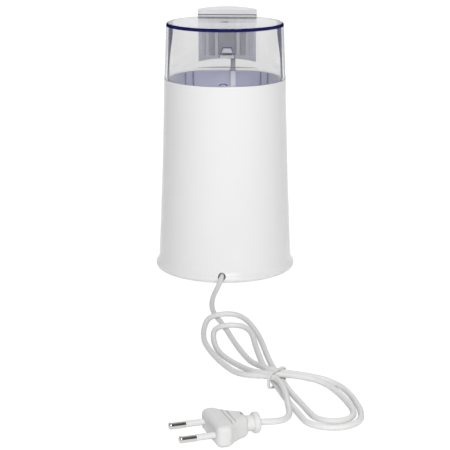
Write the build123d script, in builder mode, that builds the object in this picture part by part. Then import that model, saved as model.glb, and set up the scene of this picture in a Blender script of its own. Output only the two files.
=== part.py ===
"""Electric coffee grinder with a whirling blade, its clear lid on and its cord tied in a hank behind it.

Millimetres, +Z up. The origin is on the floor under the middle of the base. The push button in the
lid faces +Y, and the cord leaves the base at -Y.
"""

from build123d import *

import os
from math import cos, hypot, pi, radians, sin, sqrt, tan

os.makedirs("parts", exist_ok=True)

# Fits, cuts and turns
slide_gap = 0.4
seat_gap = 0.05
cover_gap = 0.3
overrun = 1.0
quarter_turn = 90.0
half_turn = 180.0

# Housing: a tapered tube that flares into a rounded lip
base_radius = 50.0
foot_height = 1.0
lip_radius = 2.6
lip_lean = 40.0
flare_radius = 7.5
body_draft = 2.6
belly_inset = 5.5
belly_z = 83.0
rim_inset = 7.0
rim_z = 138.0
rim_round = 0.6
wall = 2.6
rim_wall = 1.4
ledge_z = 121.5
ledge_thickness = 2.0
ledge_width = 4.0

# Screws
screw_radius = 1.45
screw_head_radius = 2.7
screw_head_height = 1.8
screw_grip = 9.0

# Base cover, its posts in the housing, and the feet
cover_inset = 0.6
cover_thickness = 2.0
cover_boss_height = 2.0
cover_post_radius = 3.4
cover_post_inset = 5.5
cover_post_height = 14.0
cover_post_count = 3
cover_web_width = 2.4
vent_count = 12
vent_inner = 9.0
vent_outer = 27.0
vent_width = 2.6
foot_inset = 11.0
foot_count = 4
foot_radius = 5.5
foot_round = 0.5
foot_stem_radius = 2.4
foot_head_radius = 3.0
foot_head_height = 1.2

# Lid: clear cup with a flat niche for the button and a ring that plugs into the rim
lid_height = 39.2
lid_inset = 0.3
lid_taper = 1.5
lid_round = 1.6
lid_wall = 2.3
lid_roof = 2.3
lid_flange_height = 0.9
lid_step = 0.8
plug_ring_wall = 1.2
plug_ring_depth = 14.7
plug_rib_angles = (39.0, 50.0, 130.0, 141.0, -39.0, -50.0, -130.0, -141.0)
plug_rib_width = 1.0
plug_rib_proud = 0.6
key_notch_radius = 3.2
niche_depth = 5.9
niche_floor = 2.0
window_low_width = 11.4
window_top_width = 6.0
window_height = 7.4
window_z = 147.1
gate_radius = 2.0
gate_depth = 0.8

# Push button that slides down in the niche
press_travel = 3.5
button_end_depth = 2.35
button_half_width = 21.4
button_low_z = 146.8
button_arch = 2.5
button_skin = 2.0
button_rib_places = (8.0, 14.8)
button_rib_width = 2.2
button_back_inset = 0.8
hollow_drop = 2.0
cap_gap = 1.2
cap_height = 3.6
cap_slope = 13.0
cap_round = 0.5
hook_height = 3.0

# Switch rod behind the rim, its spring and the switch
rod_x = 4.2
rod_width = 3.6
rod_thickness = 1.6
switch_drop = 4.0
rod_foot_width = 7.2
rod_foot_height = 2.0
rod_foot_reach = 8.0
plunger_setback = 4.9
plunger_radius = 1.6
plunger_length = 18.0
spring_radius = 2.6
spring_wire = 0.3
spring_turns = 6
spring_room = 10.0
switch_length = 20.0
switch_depth = 7.0
switch_height = 18.0
switch_round = 0.8
switch_screw_radius = 1.0
switch_screw_spread = 7.5
switch_post_radius = 2.4

# Grinding bowl and what turns in it
bowl_room = 0.8
bowl_sheet = 0.6
bowl_corner = 8.0
bowl_depth = 30.1
bowl_flange_width = 2.8
bowl_hole_radius = 5.2
seal_flange_radius = 7.5
seal_flange_height = 1.2
hub_radius = 5.5
hub_height = 5.0
hub_lift = 0.8
blade_tip_room = 5.0
blade_root_width = 10.0
blade_tip_width = 7.5
blade_root = 7.0
blade_eye_radius = 6.5
blade_thickness = 1.4
blade_tip_share = 0.75
blade_twist = 22.0
nut_radius = 5.0
nut_hex_height = 2.6
nut_dome_height = 2.6

# Motor carrier under the bowl
carrier_boss_height = 4.4
carrier_boss_radius = 13.0
carrier_thickness = 3.0
carrier_post_radius = 2.6
carrier_post_inset = 3.2
carrier_post_count = 3
carrier_post_start = 30.0
carrier_neck_radius = 8.0
carrier_neck_drop = 3.0
carrier_vent_radius = 4.0
carrier_vent_inset = 8.0
column_radius = 3.4
column_length = 16.0
damper_height = 2.0

# Motor
shaft_radius = 2.5
bearing_radius = 5.0
bearing_rim = 1.0
core_height = 22.0
core_length = 60.0
core_width = 48.0
core_round = 9.0
core_bore = 14.9
yoke = 6.5
pole_shoe_step = 4.0
pole_step = 3.0
pole_yoke = 7.5
pole_throat = 6.5
coil_build = 5.5
coil_round = 4.0
armature_radius = 14.3
slot_count = 12
slot_radius = 1.5
slot_ring = 12.0
slot_mouth = 1.0
winding_outer = 12.6
winding_inner = 4.6
winding_height = 5.2
winding_round = 1.8
commutator_radius = 8.0
commutator_height = 10.0
commutator_drop = 7.0
commutator_slit = 0.5
commutator_slit_depth = 1.2
fan_radius = 16.0
fan_hub_radius = 6.0
fan_height = 6.0
fan_plate = 1.2
fan_blade = 1.0
fan_blade_count = 10
fan_lift = 1.2
bracket_drop = 4.0
bracket_thickness = 3.0
bracket_bar = 12.0
bracket_end = 4.25
bracket_boss_radius = 8.0
bracket_boss_drop = 4.0
brush_width = 5.0
brush_height = 6.0
brush_gap = 0.1
holder_wall = 1.2
holder_length = 13.0
holder_setback = 1.4

# Cord, its clamp in the base and the wires inside
cord_radius = 1.7
cord_z = 5.6
cord_hole_radius = 2.7
cord_exit_inset = 0.5
cord_inner_reach = 16.0
clamp_inset = 9.0
clamp_spread = 7.0
clamp_post_radius = 2.6
clamp_width = 7.0
clamp_thickness = 2.5
wire_radius = 0.9
terminal_spread = 2.8
terminal_setback = 1.0
bend_share = 0.45
straight_angle = 0.05
gap_samples = 12

# Tie round the waist of the hank
tie_x = 40.3
tie_y = -242.5
tie_turn = 58.0
tie_half_width = 8.2
tie_band = 1.6
tie_sheet = 0.8
tie_room = 0.3
layer_gap = 0.7
tie_round = 2.6

# Two-pin plug
plug_x = 31.5
plug_y = -310.0
plug_way = 201.0
plug_half_height = 5.8
plug_length = 27.0
plug_half_width = 15.0
plug_shoulder = 7.0
plug_neck_half = 5.0
plug_corner_round = 3.4
plug_edge_round = 2.8
plug_groove_places = (15.6, 18.0)
plug_groove_width = 1.0
plug_groove_depth = 0.7
plug_groove_half = 14.0
plug_slot_place = 9.4
plug_slot_side = 1.6
plug_slot_length = 5.0
plug_slot_width = 1.3
plug_slot_depth = 2.4
collar_length = 7.0
collar_radius = 5.6
collar_flange = 3.6
collar_waist = 4.2
collar_round = 1.3
pin_spread = 9.3
pin_radius = 2.0
pin_bare = 9.0
pin_round = 1.2
sleeve_radius = 1.7
sleeve_length = 10.0

# Levels that follow from the sizes above
lean = radians(lip_lean)
draft = radians(body_draft)
waist_radius = base_radius - lip_radius * (1 - cos(lean)) - flare_radius * (cos(draft) - cos(lean))
waist_z = foot_height + lip_radius * (1 + sin(lean)) + flare_radius * (sin(lean) - sin(draft))
inside_radius = waist_radius - wall
belly_radius = base_radius - belly_inset
rim_radius = base_radius - rim_inset
ledge_inner = rim_radius - wall - ledge_width
cover_post_ring = inside_radius - cover_post_inset
foot_ring = inside_radius - foot_inset
clamp_y = clamp_inset - inside_radius
cord_inner_end_y = cord_inner_reach - inside_radius
cord_exit_y = cord_exit_inset - base_radius
lid_low_radius = rim_radius - lid_inset
lid_top_radius = lid_low_radius - lid_taper
plug_ring_radius = rim_radius - rim_wall - slide_gap
plug_ring_inner = plug_ring_radius - plug_ring_wall
niche_y = lid_top_radius - niche_depth
button_radius = hypot(button_half_width, niche_y + button_back_inset + button_end_depth)
rod_y = rim_radius - rim_wall - slide_gap - rod_thickness / 2
rod_foot_inner = rod_y - rod_foot_reach
plunger_y = rod_y - plunger_setback
bowl_radius = ledge_inner - bowl_room - bowl_sheet
bowl_flange_radius = ledge_inner + bowl_flange_width
blade_reach = bowl_radius - blade_tip_room
carrier_vent_ring = bowl_radius - carrier_vent_inset
yoke_gap_half = core_width / 2 - yoke
pole_shoe_half = yoke_gap_half - pole_shoe_step
pole_half = pole_shoe_half - pole_step
pole_root = core_length / 2 - pole_yoke
pole_neck = pole_root - pole_throat
column_spread = (core_width / 2 + yoke_gap_half) / 2
bracket_half_length = column_spread + bracket_end
cover_z = foot_height + cover_inset
cover_top = cover_z + cover_thickness
boss_top = cover_top + cover_boss_height
lid_top = rim_z + lid_height
plug_ring_z = rim_z - plug_ring_depth
cap_z = lid_top + cap_gap
hollow_top = lid_top - hollow_drop
bowl_z = ledge_z - bowl_depth
bowl_floor = bowl_z + bowl_sheet
carrier_top = bowl_z - carrier_boss_height
carrier_z = carrier_top - carrier_thickness
switch_top = carrier_z - switch_drop
rod_z = switch_top + spring_room
rod_length = rim_z - cover_gap - rod_z
carrier_neck_z = carrier_z - carrier_neck_drop
core_top = carrier_z - column_length - damper_height
core_z = core_top - core_height
commutator_z = core_z - commutator_drop - commutator_height
bracket_top = commutator_z - bracket_drop
bracket_z = bracket_top - bracket_thickness
bracket_boss_z = bracket_z - bracket_boss_drop
brush_z = commutator_z + commutator_height / 2
seal_top = bowl_floor + seal_flange_height
hub_z = seal_top + hub_lift
blade_z = hub_z + hub_height
nut_z = blade_z + blade_thickness
shaft_top = nut_z + nut_hex_height
fan_z = core_top + slide_gap + coil_build + fan_lift
cord_width = 2 * cord_radius


def arc_centre(first, middle, last):
    """Centre of the circle through three (radius, z) points."""
    ax, ay = middle[0] - first[0], middle[1] - first[1]
    bx, by = last[0] - first[0], last[1] - first[1]
    a_square, b_square = ax * ax + ay * ay, bx * bx + by * by
    double_area = 2 * (ax * by - ay * bx)
    centre_r = first[0] + (by * a_square - ay * b_square) / double_area
    centre_z = first[1] + (ax * b_square - bx * a_square) / double_area
    return centre_r, centre_z


def body_radius(z):
    """Outer radius of the housing's long side at height z."""
    first = (waist_radius, waist_z)
    centre_r, centre_z = arc_centre(first, (belly_radius, belly_z), (rim_radius, rim_z - rim_round))
    reach = hypot(first[0] - centre_r, first[1] - centre_z)
    return centre_r - sqrt(reach * reach - (z - centre_z) ** 2)


def save(piece, name):
    """Label a finished piece and write it as one STEP file."""
    piece.part.label = name
    export_step(piece.part, f"parts/{name}.step")


def polar(radius, angle):
    """Point on a circle round the Z axis, angle in degrees."""
    return (radius * cos(radians(angle)), radius * sin(radians(angle)))


def ring_spots(radius, count, start):
    """Evenly spaced points on a circle round the Z axis."""
    return [polar(radius, start + step * 2 * half_turn / count) for step in range(count)]


def up_screws(spots, seat_z, grip, radius=screw_radius, head=screw_head_radius):
    """Pan-head screws that point up, with the undersides of their heads at seat_z."""
    with BuildPart() as screws:
        with BuildSketch(Plane.XY.offset(seat_z - screw_head_height)):
            with Locations(*spots):
                Circle(head)
        extrude(amount=screw_head_height)
        with BuildSketch(Plane.XY.offset(seat_z)):
            with Locations(*spots):
                Circle(radius)
        extrude(amount=grip)
    return screws


carrier_post_ring = body_radius(carrier_top) - wall - carrier_post_inset
cover_spots = ring_spots(cover_post_ring, cover_post_count, quarter_turn)
carrier_spots = ring_spots(carrier_post_ring, carrier_post_count, carrier_post_start)
column_spots = [(0, column_spread), (0, -column_spread)]
clamp_spots = [(clamp_spread, clamp_y), (-clamp_spread, clamp_y)]
switch_spots = [(rod_x - switch_screw_spread, plunger_y), (rod_x + switch_screw_spread, plunger_y)]

# Housing
with BuildPart() as housing:
    with BuildSketch(Plane.XZ):
        with BuildLine():
            lip = JernArc(
                start=(base_radius - lip_radius, foot_height),
                tangent=(1, 0),
                radius=lip_radius,
                arc_size=quarter_turn + lip_lean,
            )
            flare_turn = body_draft - lip_lean
            flare = JernArc(start=lip @ 1, tangent=lip % 1, radius=flare_radius, arc_size=flare_turn)
            side = ThreePointArc(flare @ 1, (belly_radius, belly_z), (rim_radius, rim_z - rim_round))
            edge = RadiusArc(side @ 1, (rim_radius - rim_round, rim_z), -rim_round)
            top = Line(edge @ 1, (rim_radius - wall, rim_z))
            inner = ThreePointArc(top @ 1, (belly_radius - wall, belly_z), (inside_radius, waist_z))
            skirt = Line(inner @ 1, (inside_radius, foot_height))
            Line(skirt @ 1, lip @ 0)
        make_face()
    revolve(axis=Axis.Z)
    with BuildSketch(Plane.XY.offset(ledge_z - ledge_thickness)):
        Circle(body_radius(ledge_z) - wall / 2)
        Circle(ledge_inner, mode=Mode.SUBTRACT)
    extrude(amount=ledge_thickness)
    with BuildSketch(Plane.XY.offset(carrier_top)):
        with Locations(*carrier_spots):
            Circle(carrier_post_radius)
    extrude(amount=ledge_z - ledge_thickness - carrier_top)
    with BuildSketch(Plane.XY.offset(boss_top)):
        with Locations(*cover_spots):
            Circle(cover_post_radius)
        web_length = inside_radius - cover_post_ring + wall / 2
        with PolarLocations(cover_post_ring + web_length / 2, cover_post_count, start_angle=quarter_turn):
            Rectangle(web_length, cover_web_width)
    extrude(amount=cover_post_height)
    with BuildSketch(Plane.XY.offset(carrier_top)):
        with Locations(*carrier_spots):
            Circle(screw_radius + seat_gap)
    extrude(amount=screw_grip, mode=Mode.SUBTRACT)
    with BuildSketch(Plane.XY.offset(boss_top)):
        with Locations(*cover_spots):
            Circle(screw_radius + seat_gap)
    extrude(amount=screw_grip, mode=Mode.SUBTRACT)
    # Recess that takes the lid's plug ring
    with BuildSketch(Plane.XY.offset(ledge_z)):
        Circle(rim_radius - rim_wall)
    extrude(amount=rim_z - ledge_z, mode=Mode.SUBTRACT)
    # Groove that guides the switch rod down behind the rim
    with BuildSketch(Plane.XY.offset(rod_z - press_travel - overrun)):
        with Locations((rod_x, rod_y)):
            Rectangle(rod_width + 2 * slide_gap, rod_thickness + 2 * slide_gap)
    extrude(amount=rod_length + press_travel + 2 * overrun, mode=Mode.SUBTRACT)
    # Bare round hole for the cord, low at the back
    with BuildSketch(Plane.XZ.offset(inside_radius - overrun)):
        with Locations((0, cord_z)):
            Circle(cord_hole_radius)
    extrude(amount=base_radius - inside_radius + 2 * overrun, mode=Mode.SUBTRACT)
save(housing, "housing")

# Base cover with air vents, screw bosses, foot holes and the cord's clamp posts
with BuildPart() as base_cover:
    with BuildSketch(Plane.XY.offset(cover_z)):
        Circle(inside_radius - cover_gap)
        with PolarLocations((vent_inner + vent_outer) / 2, vent_count, start_angle=half_turn / vent_count):
            SlotOverall(vent_outer - vent_inner, vent_width, mode=Mode.SUBTRACT)
        with PolarLocations(foot_ring, foot_count, start_angle=half_turn / foot_count):
            Circle(foot_stem_radius + seat_gap, mode=Mode.SUBTRACT)
    extrude(amount=cover_thickness)
    with BuildSketch(Plane.XY.offset(cover_top)):
        with Locations(*cover_spots):
            Circle(cover_post_radius)
    extrude(amount=cover_boss_height)
    with BuildSketch(Plane.XY.offset(cover_top)):
        with Locations(*clamp_spots):
            Circle(clamp_post_radius)
    extrude(amount=cord_z + cord_radius - cover_top)
    with BuildSketch(Plane.XY.offset(cover_top)):
        with Locations((0, clamp_y)):
            Rectangle(cord_width, clamp_width)
    extrude(amount=cord_z - cord_radius - seat_gap - cover_top)
    with BuildSketch(Plane.XY.offset(cover_z)):
        with Locations(*cover_spots):
            Circle(screw_head_radius + cover_gap)
    extrude(amount=cover_thickness, mode=Mode.SUBTRACT)
    with BuildSketch(Plane.XY.offset(cover_z)):
        with Locations(*cover_spots):
            Circle(screw_radius + seat_gap)
    extrude(amount=boss_top - cover_z + overrun, mode=Mode.SUBTRACT)
    with BuildSketch(Plane.XY.offset(cover_top)):
        with Locations(*clamp_spots):
            Circle(screw_radius + seat_gap)
    extrude(amount=cord_z + cord_radius - cover_top + overrun, mode=Mode.SUBTRACT)
save(base_cover, "base_cover")

cover_screws = up_screws(cover_spots, cover_top, cover_boss_height + screw_grip)
save(cover_screws, "cover_screws")

# Rubber feet, pushed into the cover
with BuildPart() as rubber_feet:
    with BuildSketch(Plane.XY):
        with PolarLocations(foot_ring, foot_count, start_angle=half_turn / foot_count):
            Circle(foot_radius)
    extrude(amount=cover_z)
    fillet(rubber_feet.faces().group_by(Axis.Z)[0].edges(), radius=foot_round)
    with BuildSketch(Plane.XY.offset(cover_z)):
        with PolarLocations(foot_ring, foot_count, start_angle=half_turn / foot_count):
            Circle(foot_stem_radius)
    extrude(amount=cover_thickness)
    with BuildSketch(Plane.XY.offset(cover_top)):
        with PolarLocations(foot_ring, foot_count, start_angle=half_turn / foot_count):
            Circle(foot_head_radius)
    extrude(amount=foot_head_height)
save(rubber_feet, "rubber_feet")

# Space inside the lid, flat behind the niche
with BuildPart() as lid_core:
    with BuildSketch(Plane.XZ):
        with BuildLine():
            Polyline(
                (0, plug_ring_z - overrun),
                (plug_ring_inner, plug_ring_z - overrun),
                (plug_ring_inner, rim_z + lid_step),
                (lid_low_radius - lid_wall, rim_z + lid_step),
                (lid_top_radius - lid_wall, lid_top - lid_roof),
                (0, lid_top - lid_roof),
                close=True,
            )
        make_face()
    revolve(axis=Axis.Z)
    with BuildSketch(Plane.XY.offset(rim_z)):
        with Locations((0, niche_y - lid_wall + base_radius / 2)):
            Rectangle(2 * base_radius, base_radius)
    extrude(amount=lid_height, mode=Mode.SUBTRACT)

# Lid
with BuildPart() as lid:
    with BuildSketch(Plane.XZ):
        with BuildLine():
            shoulder = Polyline(
                (0, plug_ring_z),
                (plug_ring_radius, plug_ring_z),
                (plug_ring_radius, rim_z),
                (rim_radius, rim_z),
                (rim_radius, rim_z + lid_flange_height),
                (lid_low_radius, rim_z + lid_flange_height),
                (lid_top_radius, lid_top - lid_round),
            )
            crown = RadiusArc(shoulder @ 1, (lid_top_radius - lid_round, lid_top), -lid_round)
            Polyline(crown @ 1, (0, lid_top), shoulder @ 0)
        make_face()
    revolve(axis=Axis.Z)
    with BuildSketch(Plane.XY.offset(rim_z + niche_floor)):
        with Locations((0, niche_y + base_radius / 2)):
            Rectangle(2 * base_radius, base_radius)
    extrude(amount=lid_height, mode=Mode.SUBTRACT)
    add(lid_core.part, mode=Mode.SUBTRACT)
    # Ribs up the inside of the plug ring
    with BuildSketch(Plane.XY.offset(plug_ring_z)):
        for rib_angle in plug_rib_angles:
            with PolarLocations(plug_ring_inner, 1, start_angle=quarter_turn + rib_angle):
                Rectangle(2 * plug_rib_proud, plug_rib_width)
    extrude(amount=plug_ring_depth)
    # Window in the flat wall for the button's hook
    with BuildSketch(Plane.XZ.offset(-niche_y - overrun)):
        with BuildLine():
            Polyline(
                (-window_low_width / 2, window_z),
                (window_low_width / 2, window_z),
                (window_top_width / 2, window_z + window_height),
                (-window_top_width / 2, window_z + window_height),
                close=True,
            )
        make_face()
    extrude(amount=lid_wall + 2 * overrun, mode=Mode.SUBTRACT)
    # Arched notch in the plug ring's lower edge, and the slot that the button's stem and the rod run in
    with BuildSketch(Plane.XZ.offset(-plug_ring_radius - overrun)):
        with Locations((0, plug_ring_z)):
            Circle(key_notch_radius)
    extrude(amount=plug_ring_wall + 2 * overrun, mode=Mode.SUBTRACT)
    with BuildSketch(Plane.XY.offset(plug_ring_z - overrun)):
        with Locations((rod_x, rod_y)):
            Rectangle(rod_width + 2 * slide_gap, rod_thickness + 2 * slide_gap)
    extrude(amount=plug_ring_depth + niche_floor + 2 * overrun, mode=Mode.SUBTRACT)
    # Small gate mark in the middle of the top
    with BuildSketch(Plane.XY.offset(lid_top - gate_depth)):
        Circle(gate_radius)
    extrude(amount=gate_depth + overrun, mode=Mode.SUBTRACT)
save(lid, "lid")

# Hollows in the back of the button, between its ribs
rib_edges = [0.0]
for rib_place in button_rib_places:
    rib_edges += [rib_place - button_rib_width / 2, rib_place + button_rib_width / 2]
rib_edges.append(button_half_width - button_skin)
hollow_back = niche_y + slide_gap + button_back_inset
with BuildPart() as button_hollows:
    with BuildSketch(Plane.XZ.offset(-button_radius)):
        hollow_low = button_low_z + button_skin
        for start, end in zip(rib_edges[::2], rib_edges[1::2]):
            for side_sign in (-1, 1):
                with Locations((side_sign * (start + end) / 2, (hollow_low + hollow_top) / 2)):
                    Rectangle(end - start, hollow_top - hollow_low)
    extrude(amount=button_radius - hollow_back + overrun)
    with BuildSketch(Plane.XY.offset(button_low_z)):
        Circle(button_radius - button_skin)
    extrude(amount=cap_z - button_low_z + overrun, mode=Mode.INTERSECT)

# Push button: ribbed skirt, sloping cap, hook through the window and stem down to the rod
with BuildPart() as push_button:
    with BuildSketch(Plane.XZ.offset(-button_radius)):
        with BuildLine():
            low_z = button_low_z - button_arch
            arch = ThreePointArc((-button_half_width, low_z), (0, button_low_z), (button_half_width, low_z))
            Polyline(arch @ 1, (button_half_width, cap_z), (-button_half_width, cap_z), arch @ 0)
        make_face()
    extrude(amount=button_radius - hollow_back)
    add(button_hollows.part, mode=Mode.SUBTRACT)
    with BuildSketch(Plane.YZ.offset(-button_half_width)):
        with BuildLine():
            cap_back = niche_y + slide_gap
            cap_rise = (button_radius - cap_back) * tan(radians(cap_slope))
            Polyline(
                (cap_back, cap_z),
                (button_radius, cap_z),
                (button_radius, cap_z + cap_height + cap_rise),
                (cap_back, cap_z + cap_height),
                close=True,
            )
        make_face()
    extrude(amount=2 * button_half_width)
    with BuildSketch(Plane.XY.offset(button_low_z - button_arch - overrun)):
        Circle(button_radius)
    extrude(amount=cap_z + lid_height - button_low_z, mode=Mode.INTERSECT)
    fillet(push_button.faces().sort_by(Axis.Z)[-1].edges(), radius=cap_round)
    hook_top = window_z + window_height - cover_gap
    hook_top_half = window_top_width / 2 - cover_gap
    hook_low_half = hook_top_half + (window_low_width - window_top_width) / 2 * hook_height / window_height
    with BuildSketch(Plane.XZ.offset(-button_radius + button_skin / 2)):
        with BuildLine():
            Polyline(
                (-hook_low_half, hook_top - hook_height),
                (hook_low_half, hook_top - hook_height),
                (hook_top_half, hook_top),
                (-hook_top_half, hook_top),
                close=True,
            )
        make_face()
    extrude(amount=button_radius - button_skin / 2 - niche_y + lid_wall)
    with BuildSketch(Plane.XY.offset(rim_z)):
        with Locations((rod_x, rod_y)):
            Rectangle(rod_width, rod_thickness)
    extrude(amount=button_low_z + button_skin - rim_z)
save(push_button, "push_button")

# Switch rod with the foot that the spring lifts
with BuildPart() as switch_rod:
    with BuildSketch(Plane.XY.offset(rod_z)):
        with Locations((rod_x, rod_y)):
            Rectangle(rod_width, rod_thickness)
    extrude(amount=rod_length)
    with BuildSketch(Plane.XY.offset(rod_z)):
        foot_outer = rod_y
        with Locations((rod_x, (rod_foot_inner + foot_outer) / 2)):
            Rectangle(rod_foot_width, foot_outer - rod_foot_inner)
    extrude(amount=rod_foot_height)
save(switch_rod, "switch_rod")

with BuildPart() as switch_plunger:
    with BuildSketch(Plane.XY.offset(rod_z - plunger_length)):
        with Locations((rod_x, plunger_y)):
            Circle(plunger_radius)
    extrude(amount=plunger_length)
save(switch_plunger, "switch_plunger")

# Return spring round the plunger
spring_height = spring_room - 2 * spring_wire
with BuildPart() as return_spring:
    with BuildLine() as coil:
        Helix(
            pitch=spring_height / spring_turns,
            height=spring_height,
            radius=spring_radius,
            center=(rod_x, plunger_y, switch_top + spring_wire),
        )
    with BuildSketch(Plane(origin=coil.line @ 0, z_dir=coil.line % 0)):
        Circle(spring_wire)
    sweep(path=coil.line, is_frenet=True)
save(return_spring, "return_spring")

# Push switch that hangs from the carrier
with BuildPart() as switch_body:
    with BuildSketch(Plane.XY.offset(switch_top - switch_height)):
        with Locations((rod_x, plunger_y)):
            RectangleRounded(switch_length, switch_depth, switch_round)
    extrude(amount=switch_height)
    with BuildSketch(Plane.XY.offset(rod_z - plunger_length - press_travel - overrun)):
        with Locations((rod_x, plunger_y)):
            Circle(plunger_radius + cover_gap)
    extrude(amount=spring_room + plunger_length, mode=Mode.SUBTRACT)
    with BuildSketch(Plane.XY.offset(switch_top - switch_height - overrun)):
        with Locations(*switch_spots):
            Circle(switch_screw_radius + seat_gap)
    extrude(amount=switch_height + 2 * overrun, mode=Mode.SUBTRACT)
save(switch_body, "switch_body")

switch_post_height = carrier_z - switch_top
switch_screws = up_screws(
    switch_spots,
    switch_top - switch_height,
    switch_height + switch_post_height / 2,
    radius=switch_screw_radius,
    head=2 * switch_screw_radius,
)
save(switch_screws, "switch_screws")

# Steel grinding bowl, its flange on the housing's ledge
bowl_outer = bowl_radius + bowl_sheet
with BuildPart() as grinding_bowl:
    with BuildSketch(Plane.XZ):
        with BuildLine():
            under = Line((bowl_hole_radius, bowl_z), (bowl_outer - bowl_corner, bowl_z))
            outer_bend = RadiusArc(under @ 1, (bowl_outer, bowl_z + bowl_corner), -bowl_corner)
            rim = Polyline(
                outer_bend @ 1,
                (bowl_outer, ledge_z),
                (bowl_flange_radius, ledge_z),
                (bowl_flange_radius, ledge_z + bowl_sheet),
                (bowl_radius, ledge_z + bowl_sheet),
                (bowl_radius, bowl_z + bowl_corner),
            )
            inner_corner = bowl_corner - bowl_sheet
            inner_bend = RadiusArc(rim @ 1, (bowl_radius - inner_corner, bowl_floor), inner_corner)
            Polyline(inner_bend @ 1, (bowl_hole_radius, bowl_floor), under @ 0)
        make_face()
    revolve(axis=Axis.Z)
save(grinding_bowl, "grinding_bowl")

# Rubber seal where the shaft comes through the bowl
with BuildPart() as shaft_seal:
    with BuildSketch(Plane.XY.offset(bowl_z)):
        Circle(bowl_hole_radius - seat_gap)
        Circle(shaft_radius + cover_gap, mode=Mode.SUBTRACT)
    extrude(amount=bowl_sheet)
    with BuildSketch(Plane.XY.offset(bowl_floor)):
        Circle(seal_flange_radius)
        Circle(shaft_radius + cover_gap, mode=Mode.SUBTRACT)
    extrude(amount=seal_flange_height)
save(shaft_seal, "shaft_seal")

# Hub, two-winged blade and domed nut on the shaft
with BuildPart() as blade_hub:
    with BuildSketch(Plane.XY.offset(hub_z)):
        RegularPolygon(hub_radius, 6)
        Circle(shaft_radius + seat_gap, mode=Mode.SUBTRACT)
    extrude(amount=hub_height)
save(blade_hub, "blade_hub")

with BuildPart() as blade:
    with BuildSketch(Plane.XY.offset(blade_z)):
        Circle(blade_eye_radius)
        Rectangle(2 * blade_root, blade_root_width)
    extrude(amount=blade_thickness)
    for wing_angle in (0.0, half_turn):
        wing_middle = blade_z + blade_thickness / 2
        wing_way = Vector(*polar(1, wing_angle))
        root_at = wing_way * blade_root + Vector(0, 0, wing_middle)
        tip_at = wing_way * blade_reach + Vector(0, 0, wing_middle)
        with BuildSketch(Plane(origin=root_at, x_dir=(0, 0, 1), z_dir=wing_way)):
            Rectangle(blade_thickness, blade_root_width)
        with BuildSketch(Plane(origin=tip_at, x_dir=(0, 0, 1), z_dir=wing_way)):
            Rectangle(blade_thickness * blade_tip_share, blade_tip_width, rotation=blade_twist)
        loft()
    with BuildSketch(Plane.XY.offset(blade_z - overrun)):
        Circle(shaft_radius + seat_gap)
    extrude(amount=blade_thickness + 2 * overrun, mode=Mode.SUBTRACT)
save(blade, "blade")

with BuildPart() as blade_nut:
    with BuildSketch(Plane.XY.offset(nut_z)):
        RegularPolygon(nut_radius, 6)
    extrude(amount=nut_hex_height)
    dome_radius = nut_radius * cos(pi / 6)
    with BuildSketch(Plane.XZ):
        with BuildLine():
            dome_base = nut_z + nut_hex_height
            dome = TangentArc((0, dome_base + nut_dome_height), (dome_radius, dome_base), tangent=(1, 0))
            Polyline(dome @ 1, (0, dome_base), dome @ 0)
        make_face()
    revolve(axis=Axis.Z)
    with BuildSketch(Plane.XY.offset(nut_z)):
        Circle(shaft_radius + seat_gap)
    extrude(amount=nut_hex_height + seat_gap, mode=Mode.SUBTRACT)
save(blade_nut, "blade_nut")

# Carrier that holds the bowl from below, the upper bearing, the motor and the switch
with BuildPart() as motor_carrier:
    with BuildSketch(Plane.XY.offset(carrier_z)):
        Circle(body_radius(carrier_z) - wall - 2 * cover_gap)
        notch_inner = rod_foot_inner - 2 * slide_gap
        with Locations((rod_x, notch_inner + base_radius / 2)):
            Rectangle(rod_foot_width + 4 * slide_gap, base_radius, mode=Mode.SUBTRACT)
        with PolarLocations(carrier_vent_ring, 4, start_angle=quarter_turn / 2):
            Circle(carrier_vent_radius, mode=Mode.SUBTRACT)
    extrude(amount=carrier_thickness)
    with BuildSketch(Plane.XY.offset(carrier_top)):
        Circle(carrier_boss_radius)
    extrude(amount=carrier_boss_height)
    with BuildSketch(Plane.XY.offset(carrier_neck_z)):
        Circle(carrier_neck_radius)
    extrude(amount=carrier_neck_drop)
    with BuildSketch(Plane.XY.offset(carrier_z)):
        with Locations(*column_spots):
            Circle(column_radius)
    extrude(amount=-column_length)
    with BuildSketch(Plane.XY.offset(carrier_z)):
        with Locations(*switch_spots):
            Circle(switch_post_radius)
    extrude(amount=-switch_post_height)
    # Bore for the bearing, with a rim below it, and the screw holes
    with BuildSketch(Plane.XY.offset(carrier_neck_z + bearing_rim)):
        Circle(bearing_radius + seat_gap)
    extrude(amount=bowl_z - carrier_neck_z, mode=Mode.SUBTRACT)
    with BuildSketch(Plane.XY.offset(carrier_neck_z - overrun)):
        Circle(shaft_radius + cover_gap)
    extrude(amount=2 * overrun + bearing_rim, mode=Mode.SUBTRACT)
    with BuildSketch(Plane.XY.offset(carrier_z - overrun)):
        with Locations(*carrier_spots):
            Circle(screw_radius + seat_gap)
    extrude(amount=carrier_thickness + 2 * overrun, mode=Mode.SUBTRACT)
    with BuildSketch(Plane.XY.offset(carrier_z - column_length - overrun)):
        with Locations(*column_spots):
            Circle(screw_radius + seat_gap)
    extrude(amount=screw_grip + 2 * overrun, mode=Mode.SUBTRACT)
    with BuildSketch(Plane.XY.offset(switch_top - overrun)):
        with Locations(*switch_spots):
            Circle(switch_screw_radius + seat_gap)
    extrude(amount=switch_post_height + overrun, mode=Mode.SUBTRACT)
save(motor_carrier, "motor_carrier")

carrier_screws = up_screws(carrier_spots, carrier_z, carrier_thickness + screw_grip - screw_radius)
save(carrier_screws, "carrier_screws")


def bush(z, height):
    """Plain bronze bearing bush for the motor shaft."""
    with BuildPart() as sleeve:
        with BuildSketch(Plane.XY.offset(z)):
            Circle(bearing_radius)
            Circle(shaft_radius + seat_gap, mode=Mode.SUBTRACT)
        extrude(amount=height)
    return sleeve


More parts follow.
